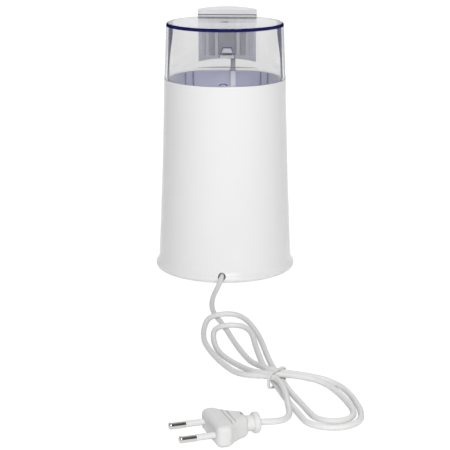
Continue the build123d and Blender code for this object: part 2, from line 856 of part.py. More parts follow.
upper_bush_z = carrier_neck_z + bearing_rim
upper_bearing = bush(upper_bush_z, bowl_z - upper_bush_z)
save(upper_bearing, "upper_bearing")
lower_bush_z = bracket_boss_z + bearing_rim
lower_bearing = bush(lower_bush_z, bracket_top - lower_bush_z)
save(lower_bearing, "lower_bearing")

with BuildPart() as motor_shaft:
    with BuildSketch(Plane.XY.offset(lower_bush_z)):
        Circle(shaft_radius)
    extrude(amount=shaft_top - lower_bush_z)
save(motor_shaft, "motor_shaft")

# Slotted armature with its winding
with BuildPart() as armature_core:
    with BuildSketch(Plane.XY.offset(core_z)):
        Circle(armature_radius)
        Circle(shaft_radius + seat_gap, mode=Mode.SUBTRACT)
        with PolarLocations(slot_ring, slot_count):
            Circle(slot_radius, mode=Mode.SUBTRACT)
        with PolarLocations(armature_radius, slot_count):
            Rectangle(2 * (armature_radius - slot_ring), slot_mouth, mode=Mode.SUBTRACT)
    extrude(amount=core_height)
save(armature_core, "armature_core")

with BuildPart() as armature_winding:
    for ring_z in (core_z - cover_gap - winding_height, core_top + cover_gap):
        with BuildSketch(Plane.XY.offset(ring_z)):
            Circle(winding_outer)
            Circle(winding_inner, mode=Mode.SUBTRACT)
        extrude(amount=winding_height)
    rims = armature_winding.edges().filter_by(GeomType.CIRCLE)
    fillet(rims.filter_by(lambda edge: edge.radius > winding_inner + cover_gap), radius=winding_round)
    with BuildSketch(Plane.XY.offset(core_z - winding_height / 2)):
        with PolarLocations(slot_ring - cover_gap, slot_count):
            Circle(slot_radius - 2 * cover_gap)
    extrude(amount=core_height + winding_height)
save(armature_winding, "armature_winding")

with BuildPart() as commutator:
    with BuildSketch(Plane.XY.offset(commutator_z)):
        Circle(commutator_radius)
        Circle(shaft_radius + seat_gap, mode=Mode.SUBTRACT)
        with PolarLocations(commutator_radius, slot_count):
            Rectangle(2 * commutator_slit_depth, commutator_slit, mode=Mode.SUBTRACT)
    extrude(amount=commutator_height)
save(commutator, "commutator")

with BuildPart() as cooling_fan:
    with BuildSketch(Plane.XY.offset(fan_z)):
        Circle(fan_radius)
        Circle(shaft_radius + seat_gap, mode=Mode.SUBTRACT)
    extrude(amount=fan_plate)
    with BuildSketch(Plane.XY.offset(fan_z)):
        Circle(fan_hub_radius)
        with PolarLocations((fan_hub_radius + fan_radius - fan_blade) / 2, fan_blade_count):
            Rectangle(fan_radius - fan_hub_radius, fan_blade)
        Circle(shaft_radius + seat_gap, mode=Mode.SUBTRACT)
    extrude(amount=fan_height)
save(cooling_fan, "cooling_fan")

# Two-pole field core with its coils
with BuildPart() as field_core:
    with BuildSketch(Plane.XY.offset(core_z)):
        RectangleRounded(core_length, core_width, core_round)
        Circle(core_bore, mode=Mode.SUBTRACT)
        for side_sign in (-1, 1):
            with Locations((0, side_sign * (pole_shoe_half + yoke_gap_half) / 2)):
                Rectangle(2 * pole_root, yoke_gap_half - pole_shoe_half, mode=Mode.SUBTRACT)
            with GridLocations(pole_neck + pole_root, 0, 2, 1):
                with Locations((0, side_sign * (pole_half + yoke_gap_half) / 2)):
                    Rectangle(pole_root - pole_neck, yoke_gap_half - pole_half, mode=Mode.SUBTRACT)
        with Locations(*column_spots):
            Circle(screw_radius + 2 * seat_gap, mode=Mode.SUBTRACT)
    extrude(amount=core_height)
save(field_core, "field_core")

with BuildPart() as field_coils:
    coil_middle = core_z + core_height / 2
    coil_inner_width = 2 * (pole_half + cover_gap)
    coil_outer_width = 2 * (yoke_gap_half - cover_gap)
    coil_inner_height = core_height + 2 * slide_gap
    with BuildSketch(Plane.YZ.offset(pole_neck + cover_gap)):
        with Locations((0, coil_middle)):
            RectangleRounded(coil_outer_width, coil_inner_height + 2 * coil_build, coil_round)
            Rectangle(coil_inner_width, coil_inner_height, mode=Mode.SUBTRACT)
    extrude(amount=pole_root - pole_neck - 2 * cover_gap)
    mirror(about=Plane.YZ)
save(field_coils, "field_coils")

with BuildPart() as motor_dampers:
    with BuildSketch(Plane.XY.offset(core_top)):
        with Locations(*column_spots):
            Circle(column_radius)
            Circle(screw_radius + seat_gap, mode=Mode.SUBTRACT)
    extrude(amount=damper_height)
save(motor_dampers, "motor_dampers")

# Lower bracket: crossed bars with legs to the core, a bearing boss and pads for the brushes
holder_half = brush_height / 2 + cover_gap + holder_wall
holder_start = commutator_radius + holder_setback
with BuildPart() as lower_bracket:
    with BuildSketch(Plane.XY.offset(bracket_z)):
        Rectangle(bracket_bar, 2 * bracket_half_length)
        Rectangle(2 * (holder_start + holder_length), bracket_bar)
    extrude(amount=bracket_thickness)
    with BuildSketch(Plane.XY.offset(bracket_boss_z)):
        Circle(bracket_boss_radius)
    extrude(amount=bracket_boss_drop)
    with BuildSketch(Plane.XY.offset(bracket_top)):
        with Locations(*column_spots):
            Circle(column_radius)
    extrude(amount=core_z - bracket_top)
    with BuildSketch(Plane.XY.offset(bracket_top)):
        with GridLocations(2 * holder_start + holder_length, 0, 2, 1):
            Rectangle(holder_length, brush_width)
    extrude(amount=brush_z - holder_half - bracket_top)
    with BuildSketch(Plane.XY.offset(bracket_boss_z + bearing_rim)):
        Circle(bearing_radius + seat_gap)
    extrude(amount=core_z - bracket_boss_z, mode=Mode.SUBTRACT)
    with BuildSketch(Plane.XY.offset(bracket_z - overrun)):
        with Locations(*column_spots):
            Circle(screw_radius + seat_gap)
    extrude(amount=core_z - bracket_z + 2 * overrun, mode=Mode.SUBTRACT)
save(lower_bracket, "lower_bracket")

motor_screws = up_screws(column_spots, bracket_z, core_top + damper_height + screw_grip - bracket_z)
save(motor_screws, "motor_screws")

with BuildPart() as brush_holders:
    with BuildSketch(Plane.YZ.offset(holder_start)):
        with Locations((0, brush_z)):
            Rectangle(brush_width + 2 * (cover_gap + holder_wall), 2 * holder_half)
    extrude(amount=holder_length)
    with BuildSketch(Plane.YZ.offset(holder_start - overrun)):
        with Locations((0, brush_z)):
            Rectangle(brush_width + 2 * cover_gap, brush_height + 2 * cover_gap)
    extrude(amount=holder_length - holder_wall + overrun, mode=Mode.SUBTRACT)
    mirror(about=Plane.YZ)
save(brush_holders, "brush_holders")

with BuildPart() as carbon_brushes:
    brush_start = commutator_radius + brush_gap
    with BuildSketch(Plane.YZ.offset(brush_start)):
        with Locations((0, brush_z)):
            Rectangle(brush_width, brush_height)
    extrude(amount=holder_start + holder_length - holder_wall - brush_start)
    mirror(about=Plane.YZ)
save(carbon_brushes, "carbon_brushes")

# Clamp bar over the cord inside the base
clamp_z = cord_z + cord_radius
with BuildPart() as cord_clamp:
    with BuildSketch(Plane.XY.offset(clamp_z)):
        with Locations((0, clamp_y)):
            RectangleRounded(2 * (clamp_spread + clamp_post_radius), clamp_width, clamp_post_radius)
        with Locations(*clamp_spots):
            Circle(screw_radius + seat_gap, mode=Mode.SUBTRACT)
    extrude(amount=clamp_thickness)
save(cord_clamp, "cord_clamp")

with BuildPart() as clamp_screws:
    with BuildSketch(Plane.XY.offset(clamp_z + clamp_thickness)):
        with Locations(*clamp_spots):
            Circle(screw_head_radius)
    extrude(amount=screw_head_height)
    with BuildSketch(Plane.XY.offset(cover_top)):
        with Locations(*clamp_spots):
            Circle(screw_radius)
    extrude(amount=clamp_z + clamp_thickness - cover_top)
save(clamp_screws, "clamp_screws")

with BuildPart() as cord_inlet:
    with BuildSketch(Plane.XZ.offset(-cord_inner_end_y)):
        with Locations((0, cord_z)):
            Circle(cord_radius)
    extrude(amount=cord_inner_end_y - cord_exit_y)
save(cord_inlet, "cord_inlet")


def bend_radii(route):
    """Arc at each corner of a route, as large as the shorter run beside it allows."""
    radii = []
    for before, corner, after in zip(route, route[1:], route[2:]):
        arriving = Vector(*corner) - Vector(*before)
        leaving = Vector(*after) - Vector(*corner)
        half_bend = radians(arriving.get_angle(leaving)) / 2
        radii.append(bend_share * min(arriving.length, leaving.length) / tan(half_bend))
    return radii


def tube(name, route, radius):
    """Round tube along straight runs joined by tangent arcs, with its bends and volume printed."""
    radii = bend_radii(route)
    with BuildPart() as line_tube:
        with BuildLine() as path:
            FilletPolyline(*route, radius=radii)
        with BuildSketch(Plane(origin=path.line @ 0, z_dir=path.line % 0)):
            Circle(radius)
        sweep(path=path.line)
    section = pi * radius * radius
    length = sum(edge.length for edge in path.edges())
    print(name, "length", round(length, 1), "radii", [round(bend, 1) for bend in radii])
    print(name, "volume", round(line_tube.part.volume), "section by length", round(section * length))
    return line_tube


# Insulated wires from the cord to the brushes and the switch
holder_end = holder_start + holder_length
wire_start = cord_inner_end_y
neutral_route = [
    (-wire_radius, wire_start, cord_z),
    (-4.0, -26.5, 6.0),
    (-13.0, -25.0, 8.5),
    (-24.0, -21.5, 14.0),
    (-30.5, -12.0, 21.0),
    (-32.0, -3.0, 27.5),
    (-28.0, 0.0, brush_z - terminal_setback),
    (-holder_end, 0.0, brush_z),
]
live_route = [
    (wire_radius, wire_start, cord_z),
    (4.5, -26.5, 6.0),
    (15.0, -26.5, 9.0),
    (27.0, -23.0, 16.0),
    (34.5, -13.0, 26.0),
    (36.5, 2.0, 37.0),
    (33.0, 19.0, 46.0),
    (23.0, 29.5, 52.0),
    (14.0, 33.5, 55.0),
    (rod_x + terminal_spread, plunger_y - terminal_setback, switch_top - switch_height),
]
switch_route = [
    (rod_x - terminal_spread, plunger_y - terminal_setback, switch_top - switch_height),
    (0.7, 34.0, 54.0),
    (5.0, 33.0, 44.0),
    (15.0, 28.5, 36.0),
    (26.0, 18.0, 31.0),
    (31.5, 6.5, 30.0),
    (28.5, 0.5, brush_z - terminal_setback),
    (holder_end, 0.0, brush_z),
]
neutral_wire = tube("neutral_wire", neutral_route, wire_radius)
save(neutral_wire, "neutral_wire")
live_wire = tube("live_wire", live_route, wire_radius)
save(live_wire, "live_wire")
switch_wire = tube("switch_wire", switch_route, wire_radius)
save(switch_wire, "switch_wire")

# Middle of the cord in the hank: figure-of-eight loops, two each side of the tied waist
hank_route = [
    (29.2, -222.0, 4.4),
    (33.2, -231.4, 6.5),
    (41.4, -238.0, 6.9),
    (52.4, -240.6, 6.5),
    (64.9, -240.4, 4.4),
    (75.6, -246.1, 2.4),
    (80.8, -257.3, 1.7),
    (83.8, -270.0, 1.7),
    (86.0, -282.6, 1.7),
    (85.4, -296.0, 1.7),
    (77.9, -304.7, 1.7),
    (66.5, -306.6, 1.7),
    (56.6, -300.8, 1.7),
    (53.0, -289.4, 1.7),
    (48.9, -277.2, 1.7),
    (44.9, -264.8, 1.9),
    (41.0, -251.6, 2.6),
    (37.2, -238.0, 2.8),
    (34.2, -224.6, 2.3),
    (31.6, -212.3, 1.8),
    (29.7, -199.9, 1.7),
    (27.7, -187.5, 1.7),
    (26.0, -175.0, 2.0),
    (24.2, -162.6, 4.0),
    (18.6, -154.9, 5.9),
    (8.4, -153.7, 5.9),
    (0.7, -160.2, 5.6),
    (0.4, -170.6, 3.6),
    (2.2, -181.9, 2.0),
    (5.5, -193.8, 1.7),
    (10.9, -205.1, 1.7),
    (17.4, -215.8, 2.2),
    (22.7, -227.1, 3.9),
    (29.1, -237.7, 5.9),
    (40.6, -242.4, 6.9),
    (53.0, -244.6, 6.9),
    (65.1, -247.4, 5.2),
    (73.4, -256.7, 3.1),
    (78.4, -268.2, 1.9),
    (81.6, -279.4, 1.7),
    (81.8, -289.8, 1.7),
    (76.5, -296.5, 1.7),
    (67.9, -297.7, 1.7),
    (60.9, -293.2, 1.7),
    (57.8, -284.6, 1.7),
    (54.0, -273.4, 1.7),
    (49.6, -261.4, 1.8),
    (45.8, -250.2, 2.5),
    (42.3, -238.6, 2.8),
    (39.5, -226.9, 2.5),
    (37.2, -215.1, 1.9),
    (35.0, -202.8, 1.8),
    (33.0, -190.5, 1.7),
    (31.2, -178.2, 1.7),
    (29.2, -165.9, 1.7),
    (26.2, -153.4, 2.2),
    (20.9, -140.4, 4.4),
    (13.7, -132.0, 5.9),
    (3.4, -131.6, 5.9),
    (-4.5, -138.4, 5.2),
    (-6.2, -149.3, 3.2),
    (-6.2, -160.2, 1.9),
    (-5.2, -171.0, 1.7),
    (-2.7, -182.4, 1.7),
    (1.0, -194.2, 1.7),
    (5.4, -205.8, 1.7),
    (10.4, -217.3, 1.9),
    (15.8, -229.0, 2.8),
    (23.3, -239.3, 4.8),
    (35.2, -244.8, 6.8),
    (41.8, -250.8, 6.9),
    (43.6, -259.4, 6.4),
]


def add_biarc(start, start_way, end, end_way):
    """Two tangent arcs that leave start and arrive at end in the given directions."""
    chord = end - start
    both = start_way + end_way
    spread = 2 * (1 - start_way.dot(end_way))
    pull = chord.dot(both)
    reach = (sqrt(pull * pull + spread * chord.dot(chord)) - pull) / spread
    meet = (start + end + (start_way - end_way) * reach) * (1 / 2)
    meet_way = (end - end_way * reach) - (start + start_way * reach)
    for first, last, way in ((start, meet, start_way), (meet, end, meet_way)):
        if way.get_angle(last - first) < straight_angle:
            Line(first, last)
        else:
            TangentArc(first, last, tangent=way)


# The hank: one unbroken tube through the middles of its route's runs, straight at both ends
hank_points = [Vector(*point) for point in hank_route]
hank_stops = []
for before, after in zip(hank_points, hank_points[1:]):
    hank_stops.append(((before + after) / 2, (after - before).normalized()))
with BuildPart() as cord_hank:
    with BuildLine() as hank_line:
        Line(hank_points[0], hank_stops[0][0])
        for (start, start_way), (end, end_way) in zip(hank_stops, hank_stops[1:]):
            add_biarc(start, start_way, end, end_way)
        Line(hank_stops[-1][0], hank_points[-1])
    with BuildSketch(Plane(origin=hank_points[0], z_dir=hank_stops[0][1])):
        Circle(cord_radius)
    sweep(path=hank_line.line)
save(cord_hank, "cord_hank")

samples = []
for (start, _), corner, (end, _) in zip(hank_stops, hank_points[1:], hank_stops[1:]):
    for step in range(gap_samples):
        share = step / gap_samples
        samples.append(start * (1 - share) ** 2 + corner * (2 * share * (1 - share)) + end * share**2)
marks = [0.0]
for before, after in zip(samples, samples[1:]):
    marks.append(marks[-1] + (after - before).length)
least_gap = min(
    (a - b).length - cord_width
    for i, a in enumerate(samples)
    for j, b in enumerate(samples[:i])
    if marks[i] - marks[j] > 4 * cord_width
)
hank_length = sum(edge.length for edge in hank_line.edges())
print("cord_hank length", round(hank_length, 1), "least gap to itself", round(least_gap, 2))
hank_volume = pi * cord_radius * cord_radius * hank_length
print("cord_hank volume", round(cord_hank.part.volume), "section by length", round(hank_volume))

# Free cord from the hole to the hank, and from the hank to the plug
lead_route = [
    (0.0, cord_exit_y, cord_z),
    (-0.5, -54.5, 5.0),
    (-1.7, -61.0, 3.0),
    (-3.1, -69.5, 1.75),
    (-4.4, -83.0, 1.7),
    (-4.4, -101.0, 1.7),
    (-2.0, -118.0, 1.7),
    (3.0, -134.0, 1.7),
    (7.6, -150.0, 1.7),
    (12.0, -168.0, 1.7),
    (17.0, -186.0, 1.7),
    (21.6, -201.0, 1.9),
    (25.2, -212.6, 2.9),
    hank_route[0],
]
cord_lead = tube("cord_lead", lead_route, cord_radius)
save(cord_lead, "cord_lead")

tail_route = [
    hank_route[-1],
    (45.6, -269.0, 5.9),
    (46.6, -280.2, 4.4),
    (47.7, -289.6, 2.9),
    (46.6, -296.6, 3.0),
    (43.3, -302.7, 3.8),
    (38.1, -307.4, 5.0),
    (plug_x, plug_y, plug_half_height),
]
cord_tail = tube("cord_tail", tail_route, cord_radius)
save(cord_tail, "cord_tail")

# Band tied round the waist of the hank
tie_inner_height = 2 * cord_width + layer_gap + 2 * tie_room
tie_plane = Plane(
    origin=(tie_x, tie_y, tie_sheet + tie_inner_height / 2),
    x_dir=Vector(*polar(1, tie_turn)),
    z_dir=Vector(*polar(1, tie_turn - quarter_turn)),
)
with BuildPart() as cord_tie:
    with BuildSketch(tie_plane.offset(-tie_band / 2)):
        outer_height = tie_inner_height + 2 * tie_sheet
        RectangleRounded(2 * (tie_half_width + tie_sheet), outer_height, tie_round + tie_sheet)
        RectangleRounded(2 * tie_half_width, tie_inner_height, tie_round, mode=Mode.SUBTRACT)
    extrude(amount=tie_band)
save(cord_tie, "cord_tie")

# Flat two-pin plug that lies on the floor, its own X axis toward the pins
plug_ahead = Vector(*polar(1, plug_way))
plug_plane = Plane(origin=(plug_x, plug_y, plug_half_height), x_dir=plug_ahead, z_dir=(0, 0, 1))
plug_front = Plane(origin=plug_plane.origin, x_dir=plug_plane.y_dir, z_dir=plug_ahead)
with BuildPart() as plug_flange:
    with BuildSketch(plug_front):
        Circle(collar_radius)
    extrude(amount=collar_flange)
    fillet(plug_flange.edges().filter_by(GeomType.CIRCLE), radius=collar_round)

with BuildPart() as plug_body:
    with BuildSketch(plug_plane.offset(-plug_half_height)):
        with BuildLine():
            front = Line((plug_length, -plug_half_width), (plug_length, plug_half_width))
            cheek = Line(front @ 1, (plug_length - plug_shoulder, plug_half_width))
            flank_half = (plug_half_width + plug_neck_half) / 2 - collar_round
            flank = ThreePointArc(
                cheek @ 1,
                ((plug_length - plug_shoulder + collar_length) / 2, flank_half),
                (collar_length, plug_neck_half),
            )
            neck = Line(flank @ 1, (collar_length, -plug_neck_half))
            mirror(about=Plane.XZ)
        make_face()
    extrude(amount=2 * plug_half_height)
    fillet(plug_body.edges().filter_by(Axis.Z), radius=plug_corner_round)
    fillet(plug_body.edges().filter_by(Plane.XY), radius=plug_edge_round)
    add(plug_flange.part)
    with BuildSketch(plug_front):
        Circle(collar_waist)
    extrude(amount=collar_length + plug_edge_round)
    with BuildSketch(plug_plane.offset(plug_half_height - plug_groove_depth)):
        for groove_place in plug_groove_places:
            with Locations((groove_place, 0)):
                Rectangle(plug_groove_width, 2 * plug_groove_half)
    extrude(amount=plug_groove_depth + overrun, mode=Mode.SUBTRACT)
    # Slot in the neck that lets it bend with the cord
    with BuildSketch(plug_plane.offset(plug_half_height - plug_slot_depth)):
        with Locations((plug_slot_place, -plug_slot_side)):
            Rectangle(plug_slot_width, plug_slot_length)
    extrude(amount=plug_slot_depth + overrun, mode=Mode.SUBTRACT)
save(plug_body, "plug_body")

with BuildPart() as plug_sleeves:
    with BuildSketch(plug_front.offset(plug_length)):
        with GridLocations(2 * pin_spread, 0, 2, 1):
            Circle(sleeve_radius)
    extrude(amount=sleeve_length)
save(plug_sleeves, "plug_sleeves")

with BuildPart() as plug_pins:
    with BuildSketch(plug_front.offset(plug_length + sleeve_length)):
        with GridLocations(2 * pin_spread, 0, 2, 1):
            Circle(pin_radius)
    extrude(amount=pin_bare)
    tip_edges = plug_pins.edges().filter_by(GeomType.CIRCLE).sort_by(Axis(plug_front.origin, plug_ahead))[-2:]
    fillet(tip_edges, radius=pin_round)
save(plug_pins, "plug_pins")
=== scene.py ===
"""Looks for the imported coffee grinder: its cord, clear lid, finishes, stage and camera, in metres."""

from math import cos, pi, radians, sin

import bpy
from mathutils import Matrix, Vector


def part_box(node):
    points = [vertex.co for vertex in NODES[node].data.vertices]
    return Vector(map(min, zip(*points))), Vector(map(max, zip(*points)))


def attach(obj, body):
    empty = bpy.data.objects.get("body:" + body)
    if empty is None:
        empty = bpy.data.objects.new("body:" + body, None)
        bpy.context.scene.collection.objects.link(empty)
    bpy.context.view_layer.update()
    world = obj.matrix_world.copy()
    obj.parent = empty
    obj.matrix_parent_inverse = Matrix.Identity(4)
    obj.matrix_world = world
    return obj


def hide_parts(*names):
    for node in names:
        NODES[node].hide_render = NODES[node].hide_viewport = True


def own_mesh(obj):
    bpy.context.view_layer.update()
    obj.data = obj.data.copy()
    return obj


bl_info = {
    "name": "Coffee grinder looks",
    "version": (1, 0, 0),
    "blender": (4, 5, 0),
    "location": "3D View > Sidebar > Grinder",
    "description": "Dresses the packed coffee grinder with its cord, lid, finishes and stage",
    "category": "Object",
}

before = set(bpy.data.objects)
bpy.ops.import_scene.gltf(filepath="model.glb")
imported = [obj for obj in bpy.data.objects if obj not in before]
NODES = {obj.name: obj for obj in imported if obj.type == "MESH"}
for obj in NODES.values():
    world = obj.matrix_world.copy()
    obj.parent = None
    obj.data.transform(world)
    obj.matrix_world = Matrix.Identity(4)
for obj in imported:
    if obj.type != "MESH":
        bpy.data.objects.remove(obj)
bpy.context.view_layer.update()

WHITE = (1.0, 1.0, 1.0, 1.0)
# Rays of the camera, of mirrors and of lenses, which see the stage instead of being lit by it
SEEN_BY = ("Is Camera Ray", "Is Glossy Ray", "Is Transmission Ray")
PLASTIC_IOR = 1.5
# Size of the fine grain of moulded plastic
GRAIN = 0.0004
# Half width of the soft edge of a mark
SOFT = 0.0002
# How a pattern is squeezed along each axis
EVEN = (1.0, 1.0, 1.0)
FLAT = (1.0, 1.0, 0.0)
TALL = (1.0, 1.0, 0.25)

# Middle of the cord: from its hole to the hank, round the hank's loops, and on to the plug
LEAD_ROUTE = [
    (0.0000, -0.0495, 0.0056),
    (-0.0005, -0.0545, 0.005),
    (-0.0017, -0.0610, 0.003),
    (-0.0031, -0.0695, 0.00175),
    (-0.0044, -0.0830, 0.0017),
    (-0.0044, -0.1010, 0.0017),
    (-0.0020, -0.1180, 0.0017),
    (0.0030, -0.1340, 0.0017),
    (0.0076, -0.1500, 0.0017),
    (0.0120, -0.1680, 0.0017),
    (0.0170, -0.1860, 0.0017),
    (0.0216, -0.2010, 0.0019),
    (0.0252, -0.2126, 0.0029),
    (0.0292, -0.2220, 0.0044),
]
HANK_ROUTE = [
    (0.0292, -0.2220, 0.0044),
    (0.0332, -0.2314, 0.0065),
    (0.0414, -0.2380, 0.0069),
    (0.0524, -0.2406, 0.0065),
    (0.0649, -0.2404, 0.0044),
    (0.0756, -0.2461, 0.0024),
    (0.0808, -0.2573, 0.0017),
    (0.0838, -0.2700, 0.0017),
    (0.0860, -0.2826, 0.0017),
    (0.0854, -0.2960, 0.0017),
    (0.0779, -0.3047, 0.0017),
    (0.0665, -0.3066, 0.0017),
    (0.0566, -0.3008, 0.0017),
    (0.0530, -0.2894, 0.0017),
    (0.0489, -0.2772, 0.0017),
    (0.0449, -0.2648, 0.0019),
    (0.0410, -0.2516, 0.0026),
    (0.0372, -0.2380, 0.0028),
    (0.0342, -0.2246, 0.0023),
    (0.0316, -0.2123, 0.0018),
    (0.0297, -0.1999, 0.0017),
    (0.0277, -0.1875, 0.0017),
    (0.0260, -0.1750, 0.002),
    (0.0242, -0.1626, 0.004),
    (0.0186, -0.1549, 0.0059),
    (0.0084, -0.1537, 0.0059),
    (0.0007, -0.1602, 0.0056),
    (0.0004, -0.1706, 0.0036),
    (0.0022, -0.1819, 0.002),
    (0.0055, -0.1938, 0.0017),
    (0.0109, -0.2051, 0.0017),
    (0.0174, -0.2158, 0.0022),
    (0.0227, -0.2271, 0.0039),
    (0.0291, -0.2377, 0.0059),
    (0.0406, -0.2424, 0.0069),
    (0.0530, -0.2446, 0.0069),
    (0.0651, -0.2474, 0.0052),
    (0.0734, -0.2567, 0.0031),
    (0.0784, -0.2682, 0.0019),
    (0.0816, -0.2794, 0.0017),
    (0.0818, -0.2898, 0.0017),
    (0.0765, -0.2965, 0.0017),
    (0.0679, -0.2977, 0.0017),
    (0.0609, -0.2932, 0.0017),
    (0.0578, -0.2846, 0.0017),
    (0.0540, -0.2734, 0.0017),
    (0.0496, -0.2614, 0.0018),
    (0.0458, -0.2502, 0.0025),
    (0.0423, -0.2386, 0.0028),
    (0.0395, -0.2269, 0.0025),
    (0.0372, -0.2151, 0.0019),
    (0.0350, -0.2028, 0.0018),
    (0.0330, -0.1905, 0.0017),
    (0.0312, -0.1782, 0.0017),
    (0.0292, -0.1659, 0.0017),
    (0.0262, -0.1534, 0.0022),
    (0.0209, -0.1404, 0.0044),
    (0.0137, -0.1320, 0.0059),
    (0.0034, -0.1316, 0.0059),
    (-0.0045, -0.1384, 0.0052),
    (-0.0062, -0.1493, 0.0032),
    (-0.0062, -0.1602, 0.0019),
    (-0.0052, -0.1710, 0.0017),
    (-0.0027, -0.1824, 0.0017),
    (0.0010, -0.1942, 0.0017),
    (0.0054, -0.2058, 0.0017),
    (0.0104, -0.2173, 0.0019),
    (0.0158, -0.2290, 0.0028),
    (0.0233, -0.2393, 0.0048),
    (0.0352, -0.2448, 0.0068),
    (0.0418, -0.2508, 0.0069),
    (0.0436, -0.2594, 0.0064),
]
TAIL_ROUTE = [
    (0.0436, -0.2594, 0.0064),
    (0.0456, -0.2690, 0.0059),
    (0.0466, -0.2802, 0.0044),
    (0.0477, -0.2896, 0.0029),
    (0.0466, -0.2966, 0.003),
    (0.0433, -0.3027, 0.0038),
    (0.0381, -0.3074, 0.005),
    (0.0315, -0.3100, 0.0058),
]


def length_property(name, description, default):
    """A size in metres."""
    return bpy.props.FloatProperty(name=name, description=description, default=default, unit="LENGTH")


def lengths_property(name, description, default):
    """Some sizes in metres that belong together."""
    return bpy.props.FloatVectorProperty(
        name=name, description=description, default=default, size=len(default), unit="LENGTH"
    )


def share_property(name, description, default):
    """A share, from none to all."""
    return bpy.props.FloatProperty(name=name, description=description, default=default, subtype="FACTOR")


def colour_property(name, description, default):
    """A colour."""
    return bpy.props.FloatVectorProperty(
        name=name, description=description, default=default, subtype="COLOR"
    )


class GrinderCamera(bpy.types.PropertyGroup):
    """Where the photograph was taken from."""

    distance: length_property("Distance", "From the shaft's axis, along the floor", 1.0)
    height: length_property("Height", "Above the floor", 0.291)
    azimuth: bpy.props.FloatProperty(
        name="Azimuth",
        description="Turn from straight behind the grinder",
        default=radians(2.6),
        subtype="ANGLE",
    )
    pitch: bpy.props.FloatProperty(
        name="Pitch", description="Tilt below the horizon", default=0.255, subtype="ANGLE"
    )
    lens: bpy.props.FloatProperty(
        name="Lens", description="Focal length", default=113.85, unit="CAMERA"
    )


class GrinderCord(bpy.types.PropertyGroup):
    """Sizes of the cord."""

    diameter: length_property("Diameter", "Thickness of the sheath", 0.0034)
    length: length_property("Length", "From the hole to the plug", 1.067)


class GrinderSpring(bpy.types.PropertyGroup):
    """Sizes of the return spring under the switch rod."""

    wire: length_property("Wire", "Radius of the wire", 0.0003)
    turns: bpy.props.IntProperty(
        name="Turns", description="All turns, with the closed one at each end", default=6
    )
    pressed: share_property("Pressed", "Share of its length when the button is down", 0.65)


class GrinderColours(bpy.types.PropertyGroup):
    """Colours of the pieces."""

    shell: colour_property("Shell", "White housing", (0.86, 0.86, 0.86))
    button: colour_property("Button", "Light grey push button", (0.74, 0.74, 0.75))
    cord: colour_property("Cord", "White sheath", (0.80, 0.80, 0.795))
    plug: colour_property("Plug", "White moulded plug", (0.75, 0.75, 0.745))
    pins: colour_property("Pins", "Nickel of the plug's pins", (0.62, 0.61, 0.60))
    grey: colour_property("Grey", "Plastic of the base and the carrier", (0.62, 0.62, 0.62))
    black: colour_property("Black", "Plastic of the switch and the fan", (0.03, 0.03, 0.032))
    rubber: colour_property("Rubber", "Feet, seal and dampers", (0.045, 0.045, 0.047))
    zinc: colour_property("Zinc", "Plating of the screws", (0.60, 0.60, 0.58))
    spring: colour_property("Spring", "Steel of the return spring", (0.48, 0.48, 0.50))
    bowl: colour_property("Bowl", "Steel of the bowl", (0.62, 0.62, 0.63))
    blade: colour_property("Blade", "Steel of the blade and shaft", (0.74, 0.74, 0.75))
    iron: colour_property("Iron", "Sheets of the motor's cores", (0.20, 0.20, 0.22))
    copper: colour_property("Copper", "Enamelled windings", (0.60, 0.28, 0.15))
    commutator: colour_property("Commutator", "Bare copper", (0.66, 0.36, 0.22))
    bronze: colour_property("Bronze", "Bearings and brush holders", (0.55, 0.40, 0.20))
    carbon: colour_property("Carbon", "Brushes", (0.03, 0.03, 0.03))
    neutral: colour_property("Neutral", "Blue insulation", (0.06, 0.16, 0.45))
    live: colour_property("Live", "Brown insulation", (0.22, 0.10, 0.05))


class GrinderButton(bpy.types.PropertyGroup):
    """Painted shade on the push button."""

    # The hollows between the button's ribs take painted shade, from this share of its depth
    hollow_share: share_property(
        "Hollow share", "Share of the button's depth where the hollows between its ribs begin to dim", 0.35
    )
    front_wall: length_property("Front wall", "Plastic in front of the hollows", 0.002)
    hollow_drop: length_property("Hollow drop", "From the top down to the hollows", 0.009)
    # Strength of the painted shade in the hollows
    hollow_shade: share_property("Hollow dim", "How dim the hollows get", 0.85)
    cap_height: length_property("Cap height", "From the sloping cap's foot to the top", 0.0054)
    # Half height of the painted shadow line at the cap's foot
    shadow_line_half: length_property("Seam", "Half height of the line at the cap's foot", 0.0004)
    rod_light: bpy.props.FloatProperty(
        name="Rod light", description="How much lighter the switch rod is than the button", default=1.22
    )


